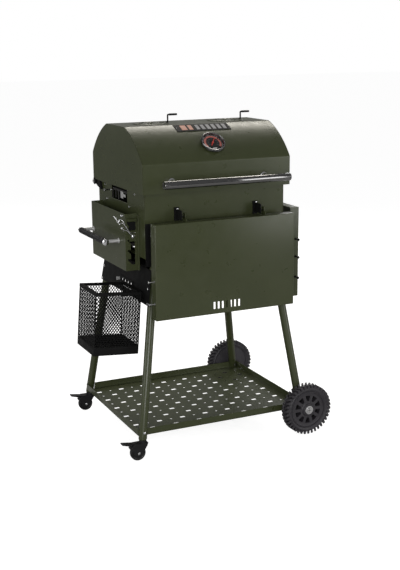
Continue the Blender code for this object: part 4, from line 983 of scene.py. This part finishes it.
def build_bottom_shelf():
    low, high = (Vector((corner.x - SHIFT_X, corner.y, corner.z)) for corner in (TRAY_LOW, TRAY_HIGH))
    bm = pan(low, high, SHEET, (0, 0, 1))
    shelf = piece("bottom_shelf_pan", bm, "olive", "cart", "olive_paint", ("bottom_shelf",),
                  smooth=PAN_SHARP_ANGLE)
    cuts = bmesh.new()
    bottom, top = low.z - 0.005, low.z + 0.008
    for column in range(TRAY_COLUMNS):
        for row in range(TRAY_ROWS):
            x = (column - (TRAY_COLUMNS - 1) / 2) * TRAY_PITCH_X
            y = ((TRAY_ROWS - 1) / 2 - row) * TRAY_PITCH_Y
            if (column + row) % 2 == 0:
                prism(slot_outline(x, y), "Z", bottom, top, cuts)
            else:
                rod((x, y, bottom), (x, y, top), SMALL_HOLE_RADIUS, 16, bm=cuts)
    cut(shelf, cuts)
    levels = [(LEG_RADIUS + 0.001, low.z - 0.01), (LEG_RADIUS + 0.001, high.z + 0.01)]
    for side_x in (-1, 1):
        for side_y in (-1, 1):
            cut(shelf, leg_shape(side_x, side_y, levels, 32, closed=False))


def build_end_panels():
    for node in ("end_panel_left", "end_panel_right", "air_damper"):
        refined(node, "black", 0.0004)
    z = 0.545
    x = leg_x(-1, z) - LEG_RADIUS - 0.0042
    grip = box((x - 0.0125, 0.0385, z - 0.0058), (x - 0.0005, 0.043, z + 0.0058))
    piece("air_damper_tab", grip, "zinc", "damper", "steel", bevel=0.0012, segments=3)


def tyre_profile():
    """The tyre's closed section under its lugs, the same on both sides of the wheel."""
    base, width = WHEEL_RADIUS - 0.0095, WHEEL_WIDTH
    inner_half = [(RIM_RADIUS + GAP, 0.004), (RIM_RADIUS + 0.006, 0.0022), (base - 0.006, 0.0012),
                  (base - 0.002, 0.003), (base, 0.0065)]
    return inner_half + [(radius, width - height) for radius, height in reversed(inner_half)]


def add_lug(bm, centre, side, angle, inner_y, outer_y, skew):
    """One tread lug: a tapered block from the tyre's middle to its shoulder."""
    half_root, half_tip = 0.0046, 0.0038
    base, tip = WHEEL_RADIUS - 0.012, WHEEL_RADIUS
    corners = []
    for y, turn in ((inner_y, 0.0), (outer_y, skew)):
        for radius, half in ((base, half_root), (tip, half_tip)):
            for sign in (-1, 1):
                around = angle + turn + sign * half / radius
                place = Vector((math.cos(around) * radius, 0, math.sin(around) * radius))
                corners.append(bm.verts.new(Vector(centre) + place + Vector((0, side * y, 0))))
    for face in ((0, 1, 3, 2), (4, 6, 7, 5), (0, 2, 6, 4), (1, 5, 7, 3), (2, 3, 7, 6), (0, 4, 5, 1)):
        bm.faces.new([corners[i] for i in face])


def build_wheels():
    width = WHEEL_WIDTH
    pitch = 2 * math.pi / LUG_COUNT
    for side, name in ((-1, "front"), (1, "rear")):
        body = f"big_wheel_{name}"
        centre = (WHEEL_X, side * WHEEL_INNER_Y, WHEEL_RADIUS)
        bm = turned(tyre_profile(), centre, (0, side, 0), 120, closed=True)
        piece(f"tyre_carcass_{name}", bm, "wheel", body, "wheel_plastic", (f"tyre_{name}",))
        lugs = bmesh.new()
        for k in range(LUG_COUNT):
            add_lug(lugs, centre, side, k * pitch, 0.001, width * 0.46, LUG_SKEW)
            add_lug(lugs, centre, side, (k + 0.5) * pitch, width - 0.001, width * 0.54, LUG_SKEW)
        piece(f"tyre_lugs_{name}", lugs, "wheel", body, "wheel_plastic", bevel=0.0007)
        build_wheel_disc(side, name, centre, body)
        build_hub_cap(side, name, centre)


def build_hub_cap(side, name, centre):
    """The axle with its chrome cap, and the cross pressed into the cap."""
    width = WHEEL_WIDTH
    cap = [(0, 0.015), (0.0085, 0.015), (0.0085, width + 0.0004), (0.0152, width + 0.0004),
           (0.0154, width + 0.0018), (0.0146, width + 0.003), (0.0105, width + 0.0036),
           (0.009, width + 0.005), (0, width + 0.0054)]
    bm = turned(cap, centre, (0, side, 0), 48)
    shaft_end = (WHEEL_X, side * (WHEEL_INNER_Y + 0.016), WHEEL_RADIUS)
    rod((WHEEL_X, side * 0.246, WHEEL_RADIUS), shaft_end, 0.0049, 24, 0.0005, bm)
    piece(f"hub_cap_{name}", bm, "chrome", "cart", "chrome", (f"axle_{name}",))
    cross = bmesh.new()
    y0, y1 = sorted((centre[1] + side * (width + 0.0048), centre[1] + side * (width + 0.0054)))
    for half_x, half_z in ((0.008, 0.0011), (0.0011, 0.008)):
        low = (WHEEL_X - half_x, y0, WHEEL_RADIUS - half_z)
        box(low, (WHEEL_X + half_x, y1, WHEEL_RADIUS + half_z), cross)
    piece(f"hub_cap_cross_{name}", cross, "case", "cart", "chrome")


def build_wheel_disc(side, name, centre, body):
    width = WHEEL_WIDTH
    outer = RIM_RADIUS
    profile = [(0.0088, 0.0), (0.017, 0.0), (0.017, 0.003), (outer - 0.006, 0.005), (outer, 0.006),
               (outer, width - 0.0045), (outer - 0.0014, width - 0.0024), (outer - 0.0036, width - 0.0024),
               (outer - 0.0052, width - 0.006), (outer - 0.0075, width - 0.0072), (0.05, width - 0.0078),
               (0.025, width - 0.0066), (0.0215, width - 0.004), (0.0205, width - 0.0008),
               (0.019, width), (0.016, width), (0.0155, width - 0.0012), (0.0088, width - 0.0012)]
    bm = turned(profile, centre, (0, side, 0), 96, closed=True)
    disc = piece(f"wheel_disc_{name}", bm, "wheel", body, "wheel_plastic", (f"wheel_{name}",))
    windows = bmesh.new()
    for k in range(WINDOW_COUNT):
        angle = 2 * math.pi * (k + 0.5) / WINDOW_COUNT
        corners = [(0.03, -0.0046), (0.0495, -0.0098), (0.0495, 0.0098), (0.03, 0.0046)]
        loop = rounded([(0.03, 0.0)] + corners + [(0.03, 0.0)], 0.0022, 3)[1:-1]
        outline = [(centre[0] + u * math.cos(angle) - v * math.sin(angle),
                    centre[2] + u * math.sin(angle) + v * math.cos(angle)) for u, v in loop]
        prism(outline, "Y", centre[1] + side * WHEEL_POCKET_FLOOR, centre[1] + side * 0.05, windows)
    cut(disc, windows)
    # A black ring on the floor of the window pockets: painted shade, so that the windows look dark and deep
    # in the grey disc
    well = [(0.028, WHEEL_POCKET_FLOOR - 0.0004), (0.0515, WHEEL_POCKET_FLOOR - 0.0004),
            (0.0515, WHEEL_POCKET_FLOOR + 0.0006), (0.028, WHEEL_POCKET_FLOOR + 0.0006)]
    bm = turned(well, centre, (0, side, 0), 96, closed=True)
    piece(f"wheel_pocket_painted_shade_{name}", bm, "black", body, "wheel_plastic")


def build_casters():
    half = CASTER_HALF_WIDTH
    right_side = [(0.008, half + 0.0008), (0.0095, half), (0.018, half - 0.0016), (0.0205, half),
                  (CASTER_RADIUS - 0.0028, half), (CASTER_RADIUS - 0.0006, half - 0.0018),
                  (CASTER_RADIUS, half - 0.004)]
    left_side = [(radius, -height) for radius, height in reversed(right_side)]
    roller = [(0, half + 0.0008)] + right_side + left_side + [(0, -half - 0.0008)]
    nut = [(0, 0), (0.0085, 0), (0.0085, 0.0035), (0, 0.0035)]
    for side, name in ((-1, "front"), (1, "rear")):
        refined(f"caster_housing_{name}", "plastic", 0.0012, 3)
        refined(f"brake_pedal_{name}", "plastic", 0.001, 3)
        leg = Vector((leg_x(-1, LEG_FOOT_Z), leg_y(side, LEG_FOOT_Z), 0.0655))
        hub = Vector((leg.x - CASTER_TRAIL, leg.y, CASTER_RADIUS))
        piece(f"caster_roller_{name}", turned(roller, hub, (0, 1, 0), 64), "plastic", f"caster_roller_{name}",
              "black_plastic", (f"caster_wheel_{name}",))
        pins = bmesh.new()
        reach = Vector((0, 0.013, 0))
        for sign in (-1, 1):
            bolt_head(hub + sign * reach, (0, sign, 0), 0.0034, 0.0022, pins)
        rod(hub - reach, hub + reach, 0.0026, 20, bm=pins)
        piece(f"caster_pin_{name}", pins, "chrome", f"caster_{name}", "chrome")
        bm = turned(nut, leg, (0, 0, 1), 6)
        piece(f"caster_nut_{name}", bm, "steel", f"caster_{name}", "steel", bevel=0.0004)


# Basket

def basket_matrix():
    return Matrix.Translation((BASKET_INNER_X, 0, BASKET_RIM_Z)) @ Matrix.Rotation(BASKET_LEAN, 4, "Y")


def add_bar(bm, start, end, normal, width, thickness):
    """A flat bar between two points on a wall with the given normal."""
    along = (end - start).normalized()
    across = along.cross(normal) * (width / 2)
    depth = normal * (thickness / 2)
    corners = (across + depth, across - depth, -across - depth, -across + depth)
    rings = [[bm.verts.new(centre + corner) for corner in corners] for centre in (start, end)]
    join_rings(bm, rings)
    add_caps(bm, *rings)


def add_mesh_wall(bm, corner, right, length, bottom, top):
    """A wall of expanded diamond mesh between two heights."""
    normal = right.cross(Vector((0, 0, 1)))
    columns = round(length / MESH_WIDTH)
    rows = round((top - bottom) / MESH_HEIGHT)
    step_u = length / columns
    step_v = (top - bottom) / rows
    for row in range(rows):
        for column in range(2 * columns):
            u0, u1 = column * step_u / 2, (column + 1) * step_u / 2
            rising = (column + row) % 2 == 0
            v0 = bottom + (row + (0 if rising else 1)) * step_v
            v1 = bottom + (row + (1 if rising else 0)) * step_v
            start = corner + right * u0 + Vector((0, 0, v0))
            end = corner + right * u1 + Vector((0, 0, v1))
            add_bar(bm, start, end, normal, MESH_WIRE, 0.0009)


def add_frame(bm, low, high, width):
    """Four bars of one width that make a level ring inside a box's sides."""
    (x0, y0, z0), (x1, y1, z1) = low, high
    box((x0, y0, z0), (x1, y0 + width, z1), bm)
    box((x0, y1 - width, z0), (x1, y1, z1), bm)
    box((x0, y0 + width, z0), (x0 + width, y1 - width, z1), bm)
    box((x1 - width, y0 + width, z0), (x1, y1 - width, z1), bm)


def basket_piece(name, bm, replaces=(), **options):
    """Leans a bmesh drawn upright with its inner rim at the origin, and hangs it on the panel."""
    bmesh.ops.transform(bm, matrix=basket_matrix(), verts=bm.verts[:])
    piece(name, bm, "black", "cart", "black_paint", replaces, **options)


def build_basket():
    width, height = BASKET_WIDTH, BASKET_HEIGHT
    front, rear = BASKET_FRONT_Y, BASKET_REAR_Y
    inset = 0.0012
    across, along = Vector((1, 0, 0)), Vector((0, 1, 0))
    span, depth = width - 2 * inset, rear - front - 2 * inset
    corner = Vector((-width + inset, front + inset, 0))
    mesh = bmesh.new()
    rear_corner = Vector((-width + inset, rear - inset, 0))
    panel_corner = Vector((-inset, front + inset, 0))
    for start, right, length in ((corner, across, span), (rear_corner, across, span),
                                 (corner, along, depth), (panel_corner, along, depth)):
        add_mesh_wall(mesh, start, right, length, -height + BASKET_TRAY_HEIGHT - 0.001, -0.001)
    basket_piece("basket_mesh", mesh)
    tray = pan((-width, front, -height), (0, rear, -height + BASKET_TRAY_HEIGHT), 0.001, (0, 0, 1))
    basket_piece("basket_tray", tray, ("side_basket",), smooth=PAN_SHARP_ANGLE)
    rim = bmesh.new()
    thickness = 0.0012
    add_frame(rim, (-width, front, -thickness), (0, rear, 0), BASKET_RIM_WIDTH)
    add_frame(rim, (-width, front, -BASKET_RIM_WIDTH), (0, rear, -thickness), thickness)
    basket_piece("basket_rim", rim, bevel=0.0003)
    posts = bmesh.new()
    for x in (-width + 0.0016, -0.0016):
        for y in (front + 0.0016, rear - 0.0016):
            rod((x, y, -height + 0.01), (x, y, -0.002), 0.0015, 12, bm=posts)
    basket_piece("basket_corner_wires", posts)
    hooks = bmesh.new()
    top, bottom = BASKET_RIM_Z - 0.006, BASKET_RIM_Z - 0.025
    panel = leg_x(-1, bottom) - LEG_RADIUS - SHEET - 3 * GAP
    for y in (front + 0.026, front + 0.096):
        path = rounded([(BASKET_INNER_X - 0.0005, y, top), (panel - 0.0035, y, top),
                        (panel - 0.0035, y, bottom)], 0.005)
        swept(path, 0.0022, 12, hooks)
    piece("basket_hooks", hooks, "black", "cart", "black_paint")


# Studio

FLOOR_GLOW = 0.86
SURROUND_LIGHT = 0.22
CAMERA_PLACE = (-1.46407, -3.22257, 1.35282)
CAMERA_YAW = math.radians(24.991)
CAMERA_PITCH = math.radians(-13.541)
CAMERA_ROLL = math.radians(-0.535)
CAMERA_LENS = 65.09


def build_floor():
    bm = bmesh.new()
    bmesh.ops.create_grid(bm, x_segments=1, y_segments=1, size=30.0)
    mesh = bpy.data.meshes.new("floor")
    bm.to_mesh(mesh)
    bm.free()
    mesh.materials.append(floor_material())
    add_object("floor", mesh)


def floor_material():
    """A pale floor that looks brighter to the camera than to the object above it."""
    material, shader = new_material("studio_floor", (0.5, 0.5, 0.5), 0.9)
    ray = material.node_tree.nodes.new("ShaderNodeLightPath")
    glow = material.node_tree.nodes.new("ShaderNodeMath")
    glow.operation = "MULTIPLY"
    glow.inputs[1].default_value = FLOOR_GLOW
    material.node_tree.links.new(ray.outputs["Is Camera Ray"], glow.inputs[0])
    material.node_tree.links.new(glow.outputs["Value"], shader.inputs["Emission Strength"])
    shader.inputs["Emission Color"].default_value = (1.0, 1.0, 1.0, 1.0)
    return material


def build_world():
    """White behind the object, and a dimmer white that lights it from all round."""
    world = bpy.data.worlds.new("studio")
    bpy.context.scene.world = world
    world.use_nodes = True
    tree = world.node_tree
    tree.nodes.clear()
    output = tree.nodes.new("ShaderNodeOutputWorld")
    mix = tree.nodes.new("ShaderNodeMixShader")
    ray = tree.nodes.new("ShaderNodeLightPath")
    for index, strength in ((1, SURROUND_LIGHT), (2, 1.0)):
        background = tree.nodes.new("ShaderNodeBackground")
        background.inputs["Color"].default_value = (1.0, 1.0, 1.0, 1.0)
        background.inputs["Strength"].default_value = strength
        tree.links.new(background.outputs["Background"], mix.inputs[index])
    tree.links.new(ray.outputs["Is Camera Ray"], mix.inputs["Fac"])
    tree.links.new(mix.outputs["Shader"], output.inputs["Surface"])


def add_area_light(name, place, target, size, power, color=(1.0, 1.0, 1.0)):
    light = bpy.data.lights.new(name, "AREA")
    light.shape = "RECTANGLE"
    light.size, light.size_y = size
    light.energy = power
    light.color = color
    obj = add_object(name, light)
    obj.location = place
    obj.rotation_euler = (Vector(target) - Vector(place)).to_track_quat("-Z", "Y").to_euler()


def build_lights():
    centre = (0.0, 0.0, 0.65)
    add_area_light("key_front_left", (-1.6, -3.7, 1.4), centre, (1.9, 1.9), 76.0)
    add_area_light("front_right", (2.5, -2.8, 1.3), centre, (1.4, 1.6), 30.0)
    add_area_light("left_side", (-3.4, -0.2, 1.3), centre, (1.6, 1.6), 28.0)
    add_area_light("crest_strip", (1.05, 1.75, 3.05), (0.0, 0.0, 1.0), (2.6, 0.5), 44.0, (1.0, 0.95, 0.86))
    add_area_light("back_right", (3.0, 2.4, 1.6), centre, (1.6, 1.6), 36.0)
    add_area_light("back_left", (-1.2, 3.6, 1.5), (0.0, 0.0, 0.45), (1.4, 1.0), 5.0)


def build_camera():
    yaw, pitch, roll = CAMERA_YAW, CAMERA_PITCH, CAMERA_ROLL
    forward = Vector((math.sin(yaw) * math.cos(pitch), math.cos(yaw) * math.cos(pitch), math.sin(pitch)))
    level = Vector((math.cos(yaw), -math.sin(yaw), 0))
    raised = level.cross(forward)
    right = level * math.cos(roll) + raised * math.sin(roll)
    up = right.cross(forward)
    camera = bpy.data.cameras.new("photo_view")
    camera.sensor_fit = "AUTO"
    camera.sensor_width = 36.0
    camera.lens = CAMERA_LENS
    camera.clip_start = 0.05
    camera.clip_end = 100.0
    obj = add_object("photo_view", camera)
    rotation = Matrix((right, up, -forward)).transposed().to_4x4()
    x, y, z = CAMERA_PLACE
    obj.matrix_world = Matrix.Translation((x + SHIFT_X, y, z)) @ rotation
    bpy.context.scene.camera = obj


MATERIALS = make_materials()
build_camera()
build_lid()
build_handle()
build_thermometer()
build_badge()
build_vents()
build_firebox()
build_lift()
build_front_shelf()
build_side_shelf()
build_legs()
build_bottom_shelf()
build_end_panels()
build_wheels()
build_casters()
build_basket()
build_floor()
build_world()
build_lights()
bpy.context.scene.view_settings.view_transform = "Standard"
